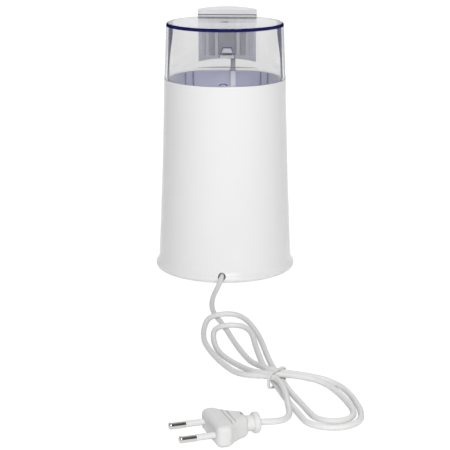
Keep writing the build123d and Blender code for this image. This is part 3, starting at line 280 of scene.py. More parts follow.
class GrinderLid(bpy.types.PropertyGroup):
    """Clear plastic of the lid. Heights are above the floor, radii from the shaft's axis."""

    clear: colour_property("Clear", "What one surface lets through", (0.985, 0.985, 0.988))
    # Painted shade: the upright wall lets through less than the level roof of the same plastic
    wall: colour_property("Wall", "What one face of the upright wall lets through", (0.80, 0.798, 0.788))
    ring: colour_property("Ring", "What one face of the plug ring lets through", (0.81, 0.82, 0.90))
    ring_band: colour_property("Ring band", "The same in the ring's paler bands", (0.87, 0.88, 0.91))
    shade: colour_property("Shade", "What one surface lets through of the lamps", (0.84, 0.84, 0.89))
    tint: colour_property("Tint", "Colour that thick plastic keeps", (0.30, 0.34, 0.62))
    density: bpy.props.FloatProperty(
        name="Density", description="How fast the plastic takes light away, per metre", default=16.0
    )
    haze: share_property("Haze", "Most that its surface is roughened", 0.012)
    # Painted shade colour: dark blue, used at the roof's edge and on the wall's lines
    edge: colour_property("Edge", "Colour of light that ran along the wall", (0.010, 0.012, 0.095))
    # Painted blue shade on the plug ring's ribs and on cut edges
    rib_shade: colour_property("Rib", "Colour of the ribs and cut edges", (0.05, 0.07, 0.32))
    edge_depth: share_property("Edge depth", "How far edges take that colour", 0.97)
    edge_height: length_property("Edge height", "Height of the roof's edge", 0.00234)
    edge_width: length_property("Edge width", "Width of the roof's edge", 0.0009)
    roof_radius: length_property("Roof radius", "Outer radius of the wall at the roof", 0.0412)
    foot_radius: length_property("Foot radius", "Outer radius of the wall at the rim", 0.0427)
    rim_height: length_property("Rim height", "Where the lid stands on the housing", 0.138)
    ring_top: length_property("Ring top", "Where the plug ring begins, inside the rim", 0.1376)
    # The plug ring's ribs, and how strongly they and faint cut edges take the painted blue shade
    rib_radius: length_property("Rib radius", "Within it are the plug ring's ribs", 0.0397)
    rib_depth: share_property("Rib depth", "How far the ribs take their colour", 0.5)
    rib_reach: bpy.props.FloatProperty(
        name="Rib reach", description="How soon a faint cut edge has the ribs' colour", default=3.0
    )
    inner_face: lengths_property(
        "Inner face", "Least and most depth of the wall's inner face under its outer one", (0.0011, 0.0033)
    )
    # Where the wall's painted lines of shade fall, and how wide and soft they are
    streak_fall: lengths_property(
        "Streak fall",
        "How far under the roof the lines of the wall begin to widen, and are widest",
        (0.030, 0.003),
    )
    streak_edge: share_property("Streak edge", "How far the wall turns away before it darkens", 0.77)
    streak_bend: bpy.props.FloatVectorProperty(
        name="Streak bend",
        description="Where it does so within the plastic, from which light no longer gets out",
        default=(0.247, 0.261),
        size=2,
    )
    streak_soft: bpy.props.FloatVectorProperty(
        name="Streak softness",
        description="Half width of the lines' soft edge, from outside and within the plastic",
        default=(0.04, 0.005),
        size=2,
    )
    streak_spread: bpy.props.FloatVectorProperty(
        name="Streak spread",
        description="How much wider the lines are at the roof, from outside and within the plastic",
        default=(0.11, 0.0275),
        size=2,
    )
    streak_skin: share_property("Streak skin", "Share of the lines on the outer face", 0.3)
    niche_wall: lengths_property(
        "Niche wall", "Both faces of the flat wall behind the button", (0.03255, 0.03545)
    )
    # Sizes that place painted blue shade on the cut edges of the hook's window, the small arch, the gate
    # mark and the rod's notch
    window: lengths_property("Window", "Foot and head of the hook's window", (0.1471, 0.1545))
    window_half: lengths_property("Window half width", "At the window's foot and head", (0.0057, 0.0030))
    window_line: lengths_property(
        "Window line", "How far its cut edge lies within and outside the window", (0.00015, 0.0006)
    )
    # The window's head takes more of the painted blue shade than its sides
    window_band: length_property("Window band", "Height of the brighter head", 0.002)
    window_depth: bpy.props.FloatVectorProperty(
        name="Window depth",
        description="How far its sides and its head take the colour of cut edges",
        default=(0.3, 0.9),
        size=2,
    )
    key_place: lengths_property(
        "Key place",
        "Middle of the small arch at the lid's foot, sideways and above the rim",
        (0.0008, 0.0009),
    )
    key_size: lengths_property("Key size", "Half width and height of the arch", (0.0028, 0.0014))
    key_line: bpy.props.FloatVectorProperty(
        name="Key line",
        description="Inner and outer share, squared, of the arch's outline",
        default=(0.5, 1.1),
        size=2,
    )
    gate: lengths_property(
        "Gate", "Radius and depth of the mark in the middle of the roof", (0.0027, 0.0011)
    )
    notch: lengths_property(
        "Notch",
        "Half width and height of the rod's notch in the ring, and how far forward it begins",
        (0.0068, 0.0036, 0.03825),
    )


class GrinderStage(bpy.types.PropertyGroup):
    """Floor and studio light."""

    floor_side: length_property("Floor side", "Width of the plain floor", 16.0)
    floor_gap: length_property("Floor gap", "Between the feet and the floor", 0.0001)
    floor_white: colour_property("Floor white", "Colour of the floor", (0.9, 0.9, 0.9))
    floor_glow: bpy.props.FloatProperty(
        name="Floor glow", description="Strength of the white that is seen of the floor", default=1.2
    )
    floor_seen: share_property("Floor seen", "Share of that white, the rest is shaded", 0.8)
    key_power: bpy.props.FloatProperty(
        name="Key power", description="Large soft light above the camera", default=26.8, unit="POWER"
    )
    key_place: bpy.props.FloatVectorProperty(
        name="Key place", description="Where it hangs", default=(0.2, -1.7, 1.1), subtype="TRANSLATION"
    )
    fill_power: bpy.props.FloatProperty(
        name="Fill power", description="Large soft light on the button's side", default=9.0, unit="POWER"
    )
    fill_place: bpy.props.FloatVectorProperty(
        name="Fill place", description="Where it hangs", default=(0.0, 1.5, 1.3), subtype="TRANSLATION"
    )
    light_side: length_property("Light side", "Width of the soft lights", 1.2)
    light_aim: bpy.props.FloatVectorProperty(
        name="Light aim", description="What they point at", default=(0.0, 0.0, 0.1), subtype="TRANSLATION"
    )
    ambient: bpy.props.FloatProperty(
        name="Ambient", description="Strength of the even light from all round", default=0.28
    )
    room: bpy.props.FloatProperty(
        name="Room", description="What mirrors show of the room on the viewer's side", default=0.12
    )
    room_span: bpy.props.FloatVectorProperty(
        name="Room span",
        description="Where that room ends and the white begins, from the viewer's side to the far one",
        default=(-0.5, 0.3),
        size=2,
    )


class Signal:
    """A number that changes over a surface, for use in sums."""

    def __init__(self, shading, socket):
        self.shading = shading
        self.socket = socket

    def maths(self, operation, first, second):
        """Add one Math node."""
        node = self.shading.node("ShaderNodeMath", {"operation": operation}, {0: first, 1: second})
        return Signal(self.shading, node.outputs[0])

    def __add__(self, other):
        return self.maths("ADD", self, other)

    def __radd__(self, other):
        return self.maths("ADD", other, self)

    def __sub__(self, other):
        return self.maths("SUBTRACT", self, other)

    def __rsub__(self, other):
        return self.maths("SUBTRACT", other, self)

    def __mul__(self, other):
        return self.maths("MULTIPLY", self, other)

    def __rmul__(self, other):
        return self.maths("MULTIPLY", other, self)

    def __pow__(self, other):
        return self.maths("POWER", self, other)

    def __abs__(self):
        return self.maths("ABSOLUTE", self, 0.0)


class Shading:
    """The nodes of a material or of the surroundings."""

    def __init__(self, tree):
        self.tree = tree

    def node(self, kind, settings=None, inputs=None):
        """Add a node: its settings first, then the values or links of its sockets."""
        node = self.tree.nodes.new(kind)
        for key, value in (settings or {}).items():
            setattr(node, key, value)
        for key, value in (inputs or {}).items():
            self.feed(node.inputs[key], value)
        return node

    def feed(self, socket, value):
        """Link a signal or a socket, or set a plain value."""
        if isinstance(value, Signal):
            self.tree.links.new(value.socket, socket)
        elif isinstance(value, bpy.types.NodeSocket):
            self.tree.links.new(value, socket)
        else:
            socket.default_value = value

    def step(self, signal, low, high):
        """Smooth step from 0 at low to 1 at high."""
        inputs = {"Value": signal, "From Min": low, "From Max": high}
        node = self.node("ShaderNodeMapRange", {"interpolation_type": "SMOOTHSTEP"}, inputs)
        return Signal(self, node.outputs["Result"])

    def above(self, signal, level, soft=SOFT):
        """One above a level and zero below it."""
        return self.step(signal, level - soft, level + soft)

    def below(self, signal, level, soft=SOFT):
        """One below a level and zero above it."""
        return 1.0 - self.above(signal, level, soft)

    def between(self, signal, low, high, soft=SOFT):
        """One from low to high and zero elsewhere."""
        return self.above(signal, low, soft) * self.below(signal, high, soft)

    def mix_shaders(self, signal, first, second):
        """Go from one shader to another."""
        inputs = {0: signal, 1: first.outputs[0], 2: second.outputs[0]}
        return self.node("ShaderNodeMixShader", None, inputs)


class Finish(Shading):
    """One procedural material."""

    def __init__(self, name, colour, roughness, constants=None):
        self.material = bpy.data.materials.new(name)
        self.material.use_nodes = True
        super().__init__(self.material.node_tree)
        self.shader = self.tree.nodes["Principled BSDF"]
        self.output = self.tree.nodes["Material Output"]
        self.colour = (*colour, 1.0)
        self.roughness = roughness
        self.shader.inputs["Base Color"].default_value = self.colour
        self.shader.inputs["Roughness"].default_value = roughness
        for socket, value in (constants or {}).items():
            self.shader.inputs[socket].default_value = value

    def place(self, stretch=EVEN):
        """Position on the object, squeezed along each axis."""
        spot = self.node("ShaderNodeTexCoord").outputs["Object"]
        return self.node("ShaderNodeMapping", None, {"Vector": spot, "Scale": stretch}).outputs["Vector"]

    def axis(self, index):
        """One coordinate of the position on the object."""
        split = self.node("ShaderNodeSeparateXYZ", None, {"Vector": self.place()})
        return Signal(self, split.outputs[index])

    def radius(self):
        """Distance from the upright axis."""
        flat = self.node("ShaderNodeVectorMath", {"operation": "LENGTH"}, {0: self.place(FLAT)})
        return Signal(self, flat.outputs["Value"])

    def normal(self, index):
        """One part of the direction that the surface faces."""
        geometry = self.node("ShaderNodeNewGeometry")
        split = self.node("ShaderNodeSeparateXYZ", None, {"Vector": geometry.outputs["Normal"]})
        return Signal(self, split.outputs[index])

    def facing(self, index):
        """How far the surface faces either way along an axis, squared."""
        return self.normal(index) ** 2.0

    def upright(self):
        """One on walls and zero on level faces."""
        return self.below(self.facing(2), level=0.35, soft=0.15)

    def from_within(self):
        """One where a surface is met from within the plastic, zero from the air."""
        return Signal(self, self.node("ShaderNodeNewGeometry").outputs["Backfacing"])

    def noise(self, scale, detail=2.0, stretch=EVEN):
        """Soft random pattern, about one half on average."""
        inputs = {"Vector": self.place(stretch), "Scale": scale, "Detail": detail}
        return Signal(self, self.node("ShaderNodeTexNoise", None, inputs).outputs["Fac"])

    def bands(self, direction, inputs):
        """Even bands across one direction."""
        wave = self.node("ShaderNodeTexWave", {"bands_direction": direction}, inputs)
        return Signal(self, wave.outputs["Fac"])

    def bump(self, height, strength, distance):
        """Raise the surface by a signal."""
        inputs = {"Height": height, "Strength": strength, "Distance": distance}
        self.feed(self.shader.inputs["Normal"], self.node("ShaderNodeBump", None, inputs).outputs["Normal"])

    def vary_roughness(self, signal, amount):
        """Let the gloss drift either side of its level."""
        self.feed(self.shader.inputs["Roughness"], (signal - 0.5) * amount + self.roughness)

    def blend(self, signal, first, second):
        """Blend two colours, each a plain one or a link."""
        inputs = {0: signal}
        for key, colour in ((6, first), (7, second)):
            inputs[key] = colour if isinstance(colour, bpy.types.NodeSocket) else (*colour[:3], 1.0)
        return self.node("ShaderNodeMix", {"data_type": "RGBA"}, inputs).outputs[2]

    def vary_colour(self, signal, other):
        """Blend toward a second colour."""
        self.feed(self.shader.inputs["Base Color"], self.blend(signal, self.colour, other))


def shade(colour, factor):
    """The same colour, darker or lighter."""
    return tuple(channel * factor for channel in colour)


def melt_flow(finish):
    """Faint upright clouds that the melt leaves in moulded plastic."""
    return finish.noise(scale=38.0, detail=3.0, stretch=TALL)


def moulded_skin(finish):
    """Slight drift in the gloss, and a very fine grain."""
    finish.vary_roughness(finish.noise(scale=160.0, detail=4.0), amount=0.08)
    finish.bump(finish.noise(scale=1.0 / GRAIN), strength=0.04, distance=0.2 * GRAIN)


def moulded_plastic(name, colour, roughness, coat=0.0, gloss=0.5):
    """Moulded plastic, plain or with a glossier coat."""
    surface = {"IOR": PLASTIC_IOR, "Specular IOR Level": gloss}
    finish = Finish(name, colour, roughness, {**surface, "Coat Weight": coat, "Coat Roughness": 0.08})
    finish.vary_colour(melt_flow(finish) * 0.6, shade(colour, 0.97))
    moulded_skin(finish)
    return finish.material


def ribbed_plastic_with_painted_shade(colour, button):
    """Button plastic, with painted shade in the hollows between its ribs and a painted shadow line at the
    cap's foot.
    """
    finish = Finish("button_plastic", colour, 0.36, {"IOR": PLASTIC_IOR, "Specular IOR Level": 0.2})
    low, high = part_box("push_button")
    height = finish.axis(2)
    start = low[1] + button.hollow_share * (high[1] - low[1])
    # Painted shade: darken the hollows between the ribs, but not the front face or the cap
    hollow = finish.step(finish.axis(1), start, high[1] - button.front_wall)
    hollow = hollow * finish.below(finish.normal(1), level=0.25, soft=0.15)
    hollow = hollow * finish.below(height, high[2] - button.hollow_drop, soft=0.001)
    cap_foot = high[2] - button.cap_height
    # Painted shadow line along the cap's foot
    painted_shadow_line = finish.between(height, cap_foot - button.shadow_line_half, cap_foot + button.shadow_line_half)
    # Dark colours of the painted shade, darker still in the painted shadow line
    dim = finish.blend(painted_shadow_line, shade(colour, 0.5), shade(colour, 0.25))
    finish.vary_colour(hollow * button.hollow_shade + painted_shadow_line + melt_flow(finish) * 0.1, dim)
    moulded_skin(finish)
    return finish.material


def clear_plastic(lid):
    """Clear lid plastic: it bends light, lets the lamps in, and has painted dark blue shade at the roof's
    edge, along the wall's lines and on cut edges, where light runs along it.
    """
    finish = Finish("clear_lid", lid.clear, 0.0, {"IOR": PLASTIC_IOR, "Transmission Weight": 1.0})
    finish.feed(finish.shader.inputs["Roughness"], finish.noise(scale=60.0, detail=3.0) * lid.haze)
    bands = finish.above(finish.noise(scale=48.0, detail=1.0, stretch=FLAT), level=0.5, soft=0.08)
    ring = finish.blend(bands, lid.ring, lid.ring_band)
    # Upright faces above the ring take the wall's painted shade, below it the ring's tint; level faces stay
    # clear
    walls = finish.blend(finish.below(finish.axis(2), lid.ring_top), lid.wall, ring)
    finish.feed(finish.shader.inputs["Base Color"], finish.blend(finish.upright(), lid.clear, walls))
    absorbed = {"Color": (*lid.tint, 1.0), "Density": lid.density}
    volume = finish.node("ShaderNodeVolumeAbsorption", None, absorbed)
    finish.feed(finish.output.inputs["Volume"], volume.outputs["Volume"])
    cut_shade = cut_edge_shade(finish, lid)
    # An opaque dark blue shader stands in for the shade seen where light runs along the plastic: painted
    # shade
    painted_shade_inputs = {
        "Base Color": finish.blend(cut_shade * lid.rib_reach, lid.edge, lid.rib_shade),
        "Roughness": 0.4,
        "Specular IOR Level": 0.0,
    }
    painted_shade_bsdf = finish.node("ShaderNodeBsdfPrincipled", None, painted_shade_inputs)
    # Where the painted shade goes: the roof's edge, the wall's lines and the cut edges
    blue = roof_edge_shade(finish, lid) + wall_line_shade(finish, lid) + cut_shade
    with_painted_shade = finish.mix_shaders(blue, finish.shader, painted_shade_bsdf)
    to_lamps = finish.node("ShaderNodeBsdfTransparent", None, {"Color": (*lid.shade, 1.0)})
    shadow = finish.node("ShaderNodeLightPath").outputs["Is Shadow Ray"]
    surface = finish.mix_shaders(shadow, with_painted_shade, to_lamps)
    finish.feed(finish.output.inputs["Surface"], surface.outputs[0])
    return finish.material


def roof_edge_shade(finish, lid):
    """Painted dark blue shade on the outer skin of the roof's edge, where light that ran along the roof
    comes out.
    """
    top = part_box("lid")[1][2]
    lip = finish.above(finish.axis(2), top - lid.edge_height)
    rim = finish.above(finish.radius(), lid.roof_radius - lid.edge_width)
    return lip * rim * (1.0 - finish.from_within()) * lid.edge_depth


def wall_depth(finish, lid):
    """How far under the outer face of the tapered wall."""
    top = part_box("lid")[1][2]
    taper = (lid.foot_radius - lid.roof_radius) / (top - lid.rim_height)
    return lid.foot_radius - (finish.axis(2) - lid.rim_height) * taper - finish.radius()


def wall_line_shade(finish, lid):
    """Painted dark lines of shade where the wall's inner face is seen edge on, wider toward the roof."""
    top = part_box("lid")[1][2]
    narrow, wide = lid.streak_fall
    rise = finish.step(finish.axis(2), top - narrow, top - wide)
    grazing = Signal(finish, finish.node("ShaderNodeLayerWeight", None, {"Blend": 0.5}).outputs["Facing"])
    air_soft, plastic_soft = lid.streak_soft
    air_spread, plastic_spread = lid.streak_spread
    first, last = lid.streak_bend
    in_air = finish.above(grazing + rise * air_spread, lid.streak_edge, air_soft)
    in_plastic = finish.above(grazing + rise * plastic_spread, first, plastic_soft)
    in_plastic = in_plastic * finish.below(grazing, last, plastic_soft)
    depth = wall_depth(finish, lid)
    least, most = lid.inner_face
    inner = finish.between(depth, least, most)
    skin = finish.below(depth, least) * lid.streak_skin
    within = finish.from_within()
    lines = in_air * (1.0 - within) * (inner + skin) + in_plastic * within * inner
    return lines * finish.upright()


def window_edge_shade(finish, lid):
    """Painted blue shade on the cut edge of the hook's window in the niche wall, strongest along its head.
    """
    height = finish.axis(2)
    foot, head = lid.window
    wide, narrow = lid.window_half
    half = wide - (height - foot) * ((wide - narrow) / (head - foot))
    beyond = abs(finish.axis(0)) - half
    within, outside = lid.window_line
    around = finish.below(beyond, outside) * finish.between(height, foot, head + outside)
    opening = finish.below(beyond, -within) * finish.below(height, head - within)
    wall = finish.between(finish.axis(1), *lid.niche_wall)
    sides, along_head = lid.window_depth
    depth = finish.step(height, head - lid.window_band, head) * (along_head - sides) + sides
    return around * (1.0 - opening) * wall * depth


def key_arch_shade(finish, lid):
    """Painted blue shade along the outline of the small arch at the foot of the wall, on the cord's side.
    """
    middle, foot = lid.key_place
    half, rise = lid.key_size
    across = (finish.axis(0) - middle) * (1.0 / half)
    up = (finish.axis(2) - lid.rim_height - foot) * (1.0 / rise)
    line = finish.between(across**2.0 + up**2.0, *lid.key_line, soft=0.1)
    near = finish.below(finish.axis(1), 0.0)
    outer = finish.below(wall_depth(finish, lid), lid.inner_face[0])
    return line * finish.above(up, level=-0.05, soft=0.05) * near * outer


def cut_edge_shade(finish, lid):
    """Painted blue shade on the ribs and notch of the plug ring, the gate mark, the small arch and the edge
    of the hook's window.
    """
    low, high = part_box("lid")
    height = finish.axis(2)
    ribs = finish.below(height, lid.ring_top) * finish.below(finish.radius(), lid.rib_radius)
    half, tall, start = lid.notch
    notch = finish.above(finish.axis(1), start) * finish.below(abs(finish.axis(0)), half)
    ends = finish.below(finish.facing(1), level=0.45, soft=0.15)
    notch = notch * finish.below(height, low[2] + tall) * ends
    gate_radius, gate_depth = lid.gate
    gate = finish.below(finish.radius(), gate_radius) * finish.above(height, high[2] - gate_depth)
    marks = window_edge_shade(finish, lid) + key_arch_shade(finish, lid) + gate
    return (ribs * lid.rib_depth + notch + marks) * lid.edge_depth


def sheath(name, colour):
    """Soft cord sheath: satin, with slight handling marks and a faint ripple along it."""
    finish = Finish(name, colour, 0.42, {"IOR": PLASTIC_IOR, "Specular IOR Level": 0.25})
    finish.vary_colour(finish.noise(scale=90.0, detail=4.0) * 0.7, shade(colour, 0.94))
    finish.vary_roughness(finish.noise(scale=240.0, detail=3.0), amount=0.16)
    finish.bump(finish.noise(scale=700.0), strength=0.08, distance=0.0001)
    return finish.material


def brushed_metal(name, colour, roughness, stretch=EVEN):
    """Metal with fine drawn lines."""
    finish = Finish(name, colour, roughness, {"Metallic": 1.0})
    lines = finish.noise(scale=900.0, detail=3.0, stretch=stretch)
    finish.vary_colour(lines * 0.6, shade(colour, 0.82))
    finish.vary_roughness(lines, amount=0.2)
    finish.bump(lines, strength=0.08, distance=0.00004)
    return finish.material


def turned_metal(name, colour, roughness):
    """Metal with fine rings round the upright axis, as spinning leaves them."""
    finish = Finish(name, colour, roughness, {"Metallic": 1.0})
    inputs = {"W": finish.radius() + finish.axis(2), "Scale": 1400.0, "Detail": 3.0}
    noise = finish.node("ShaderNodeTexNoise", {"noise_dimensions": "1D"}, inputs)
    rings = Signal(finish, noise.outputs["Fac"])
    finish.vary_colour(rings * 0.5 + finish.noise(scale=60.0, detail=4.0) * 0.2, shade(colour, 0.8))
    finish.vary_roughness(rings, amount=0.14)
    finish.bump(rings, strength=0.06, distance=0.00004)
    return finish.material


def dark_rubber(name, colour):
    """Matt rubber or carbon with a fine grain."""
    finish = Finish(name, colour, 0.72, {"Specular IOR Level": 0.3})
    finish.vary_colour(finish.noise(scale=120.0, detail=4.0), shade(colour, 1.5))
    finish.bump(finish.noise(scale=1800.0, detail=3.0), strength=0.2, distance=0.0001)
    return finish.material


def laminated_iron(name, colour):
    """Stack of thin core sheets."""
    finish = Finish(name, colour, 0.5, {"Metallic": 0.8})
    sheets = finish.bands("Z", {"Vector": finish.place(), "Scale": 320.0})
    finish.vary_colour(sheets, shade(colour, 0.55))
    finish.bump(sheets, strength=0.3, distance=0.0002)
    return finish.material


def wound_copper(name, colour):
    """Enamelled copper turns."""
    finish = Finish(name, colour, 0.3, {"Metallic": 0.85, "Coat Weight": 0.4})
    inputs = {"Vector": finish.place((1.0, 1.0, 2.0)), "Scale": 260.0, "Distortion": 0.6}
    turns = finish.bands("DIAGONAL", inputs)
    finish.vary_colour(turns, shade(colour, 0.55))
    finish.bump(turns, strength=0.4, distance=0.0003)
    return finish.material


def dress(material, *nodes):
    """Give some of the grinder's own pieces their finish."""
    for node in nodes:
        for slot in NODES[node].material_slots:
            slot.material = material


def smooth_line(name, points, radius, roundness, smoothness):
    """A round cord or wire on one smooth line, led by its control points."""
    data = bpy.data.curves.new(name, "CURVE")
    data.dimensions = "3D"
    data.bevel_depth = radius
    data.bevel_resolution = roundness
    data.resolution_u = smoothness
    data.use_fill_caps = True
    line = data.splines.new("NURBS")
    line.points.add(len(points) - 1)
    for spot, point in zip(line.points, points):
        spot.co = (*point, 1.0)
    line.order_u = 3
    line.use_endpoint_u = True
    return bpy.data.objects.new(name, data)


class GrinderTool:
    """What all the grinder's operators share."""

    bl_options = {"REGISTER", "UNDO"}


class GRINDER_OT_camera(GrinderTool, bpy.types.Operator):
    """Put the camera where the photograph was taken from"""

    bl_idname = "grinder.camera"
    bl_label = "Camera"

    def execute(self, context):
        sizes = context.scene.grinder_camera
        data = bpy.data.cameras.new("photo_camera")
        data.lens = sizes.lens
        camera = bpy.data.objects.new("photo_camera", data)
        camera.location = (
            sizes.distance * sin(sizes.azimuth),
            -sizes.distance * cos(sizes.azimuth),
            sizes.height,
        )
        camera.rotation_euler = (pi / 2 - sizes.pitch, 0.0, sizes.azimuth)
        context.collection.objects.link(camera)
        context.scene.camera = camera
        return {"FINISHED"}


class GRINDER_OT_cord(GrinderTool, bpy.types.Operator):
    """Lay the cord on one smooth line from its hole, through the hank, to the plug"""

    bl_idname = "grinder.cord"
    bl_label = "Cord"

    def execute(self, context):
        cord = context.scene.grinder_cord
        points = LEAD_ROUTE[:-1] + HANK_ROUTE[1:-1] + TAIL_ROUTE[1:]
        piece = smooth_line("mains_cord", points, cord.diameter / 2, roundness=6, smoothness=8)
        piece.data.materials.append(sheath("cord_sheath", context.scene.grinder_colours.cord))
        context.collection.objects.link(piece)
        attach(piece, "base")
        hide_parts("cord_lead", "cord_hank", "cord_tail")
        return {"FINISHED"}


class GRINDER_OT_plug(GrinderTool, bpy.types.Operator):
    """Finish the plug and the tie"""

    bl_idname = "grinder.plug"
    bl_label = "Plug and tie"

    def execute(self, context):
        colours = context.scene.grinder_colours
        plug = moulded_plastic("plug_plastic", colours.plug, roughness=0.38, gloss=0.15)
        dress(plug, "plug_body", "plug_sleeves")
        dress(brushed_metal("pin_nickel", colours.pins, roughness=0.1), "plug_pins")
        dress(moulded_plastic("tie_plastic", colours.plug, roughness=0.3), "cord_tie")
        dress(sheath("inlet_sheath", colours.cord), "cord_inlet")
        return {"FINISHED"}


class GRINDER_OT_shell(GrinderTool, bpy.types.Operator):
    """Finish the white housing, the base cover and the feet"""

    bl_idname = "grinder.shell"
    bl_label = "Shell and base"

    def execute(self, context):
        colours = context.scene.grinder_colours
        white = moulded_plastic("shell_plastic", colours.shell, roughness=0.24, coat=0.1, gloss=0.25)
        dress(white, "housing")
        grey = moulded_plastic("grey_plastic", colours.grey, roughness=0.5)
        dress(grey, "base_cover", "cord_clamp", "motor_carrier")
        rubber = dark_rubber("foot_rubber", colours.rubber)
        dress(rubber, "rubber_feet", "shaft_seal", "motor_dampers")
        zinc = brushed_metal("screw_zinc", colours.zinc, roughness=0.32, stretch=(1.0, 1.0, 0.2))
        dress(zinc, "cover_screws", "carrier_screws", "switch_screws", "motor_screws", "clamp_screws")
        return {"FINISHED"}


class GRINDER_OT_lid(GrinderTool, bpy.types.Operator):
    """Finish the clear lid"""

    bl_idname = "grinder.lid"
    bl_label = "Lid"

    def execute(self, context):
        dress(clear_plastic(context.scene.grinder_lid), "lid")
        return {"FINISHED"}


class GRINDER_OT_button(GrinderTool, bpy.types.Operator):
    """Finish the push button and the pieces that it works"""

    bl_idname = "grinder.button"
    bl_label = "Button and switch"

    def execute(self, context):
        colours = context.scene.grinder_colours
        button = context.scene.grinder_button
        dress(ribbed_plastic_with_painted_shade(colours.button, button), "push_button")
        rod_colour = shade(colours.button, button.rod_light)
        dress(moulded_plastic("rod_plastic", rod_colour, roughness=0.36), "switch_rod")
        black = moulded_plastic("black_plastic", colours.black, roughness=0.45)
        dress(black, "switch_plunger", "switch_body", "lower_bracket", "cooling_fan", "blade_hub")
        return {"FINISHED"}


class GRINDER_OT_spring(GrinderTool, bpy.types.Operator):
    """Wind the return spring"""

    bl_idname = "grinder.spring"
    bl_label = "Return spring"

    def execute(self, context):
        sizes = context.scene.grinder_spring
        low, high = (Vector(corner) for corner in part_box("return_spring"))
        foot = Vector(((low.x + high.x) / 2, (low.y + high.y) / 2, low.z))
        points = [foot + point for point in self.helix(sizes, (high.x - low.x) / 2, high.z - low.z)]
        wire = smooth_line("spring_wire", points, sizes.wire, roundness=3, smoothness=3)
        context.collection.objects.link(wire)
        context.view_layer.update()
        mesh = bpy.data.meshes.new_from_object(wire.evaluated_get(context.evaluated_depsgraph_get()))
        bpy.data.objects.remove(wire)
        mesh.materials.clear()
        steel = context.scene.grinder_colours.spring
        mesh.materials.append(brushed_metal("spring_steel", steel, roughness=0.28))
        mesh.shade_smooth()
        piece = bpy.data.objects.new("coiled_spring", mesh)
        context.collection.objects.link(piece)
        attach(piece, "base")
        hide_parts("return_spring")
        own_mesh(piece)
        return {"FINISHED"}

    def helix(self, sizes, outer_radius, length):
        """Points along the wire's middle from the spring's foot, with a closed turn at each end."""
        steps_per_turn = 16
        radius = outer_radius - sizes.wire
        closed_pitch = 2 * sizes.wire
        open_turns = sizes.turns - 2
        open_pitch = (length - 2 * sizes.wire - 2 * closed_pitch) / open_turns
        for index in range(sizes.turns * steps_per_turn + 1):
            turn = index / steps_per_turn
            opened = min(max(turn - 1, 0.0), open_turns)
            height = sizes.wire + opened * open_pitch + (turn - opened) * closed_pitch
            angle = 2 * pi * turn
            yield Vector((radius * cos(angle), radius * sin(angle), height))


class GRINDER_OT_bowl(GrinderTool, bpy.types.Operator):
    """Finish the steel bowl and what turns in it"""

    bl_idname = "grinder.bowl"
    bl_label = "Bowl and blade"

    def execute(self, context):
        colours = context.scene.grinder_colours
        dress(turned_metal("bowl_steel", colours.bowl, roughness=0.3), "grinding_bowl")
        blade = brushed_metal("blade_steel", colours.blade, roughness=0.2, stretch=(0.2, 2.0, 1.0))
        dress(blade, "blade", "blade_nut", "motor_shaft")
        return {"FINISHED"}


class GRINDER_OT_motor(GrinderTool, bpy.types.Operator):
    """Finish the motor and the wiring"""

    bl_idname = "grinder.motor"
    bl_label = "Motor and wiring"

    def execute(self, context):
        colours = context.scene.grinder_colours
        dress(laminated_iron("core_iron", colours.iron), "field_core", "armature_core")
        dress(wound_copper("copper_winding", colours.copper), "field_coils", "armature_winding")
        bare_copper = brushed_metal(
            "commutator_copper", colours.commutator, roughness=0.3, stretch=(1.0, 1.0, 4.0)
        )
        dress(bare_copper, "commutator")
        bronze = brushed_metal("bush_bronze", colours.bronze, roughness=0.4)
        dress(bronze, "upper_bearing", "lower_bearing", "brush_holders")
        dress(dark_rubber("brush_carbon", colours.carbon), "carbon_brushes")
        dress(sheath("blue_insulation", colours.neutral), "neutral_wire")
        dress(sheath("brown_insulation", colours.live), "live_wire", "switch_wire")
        return {"FINISHED"}


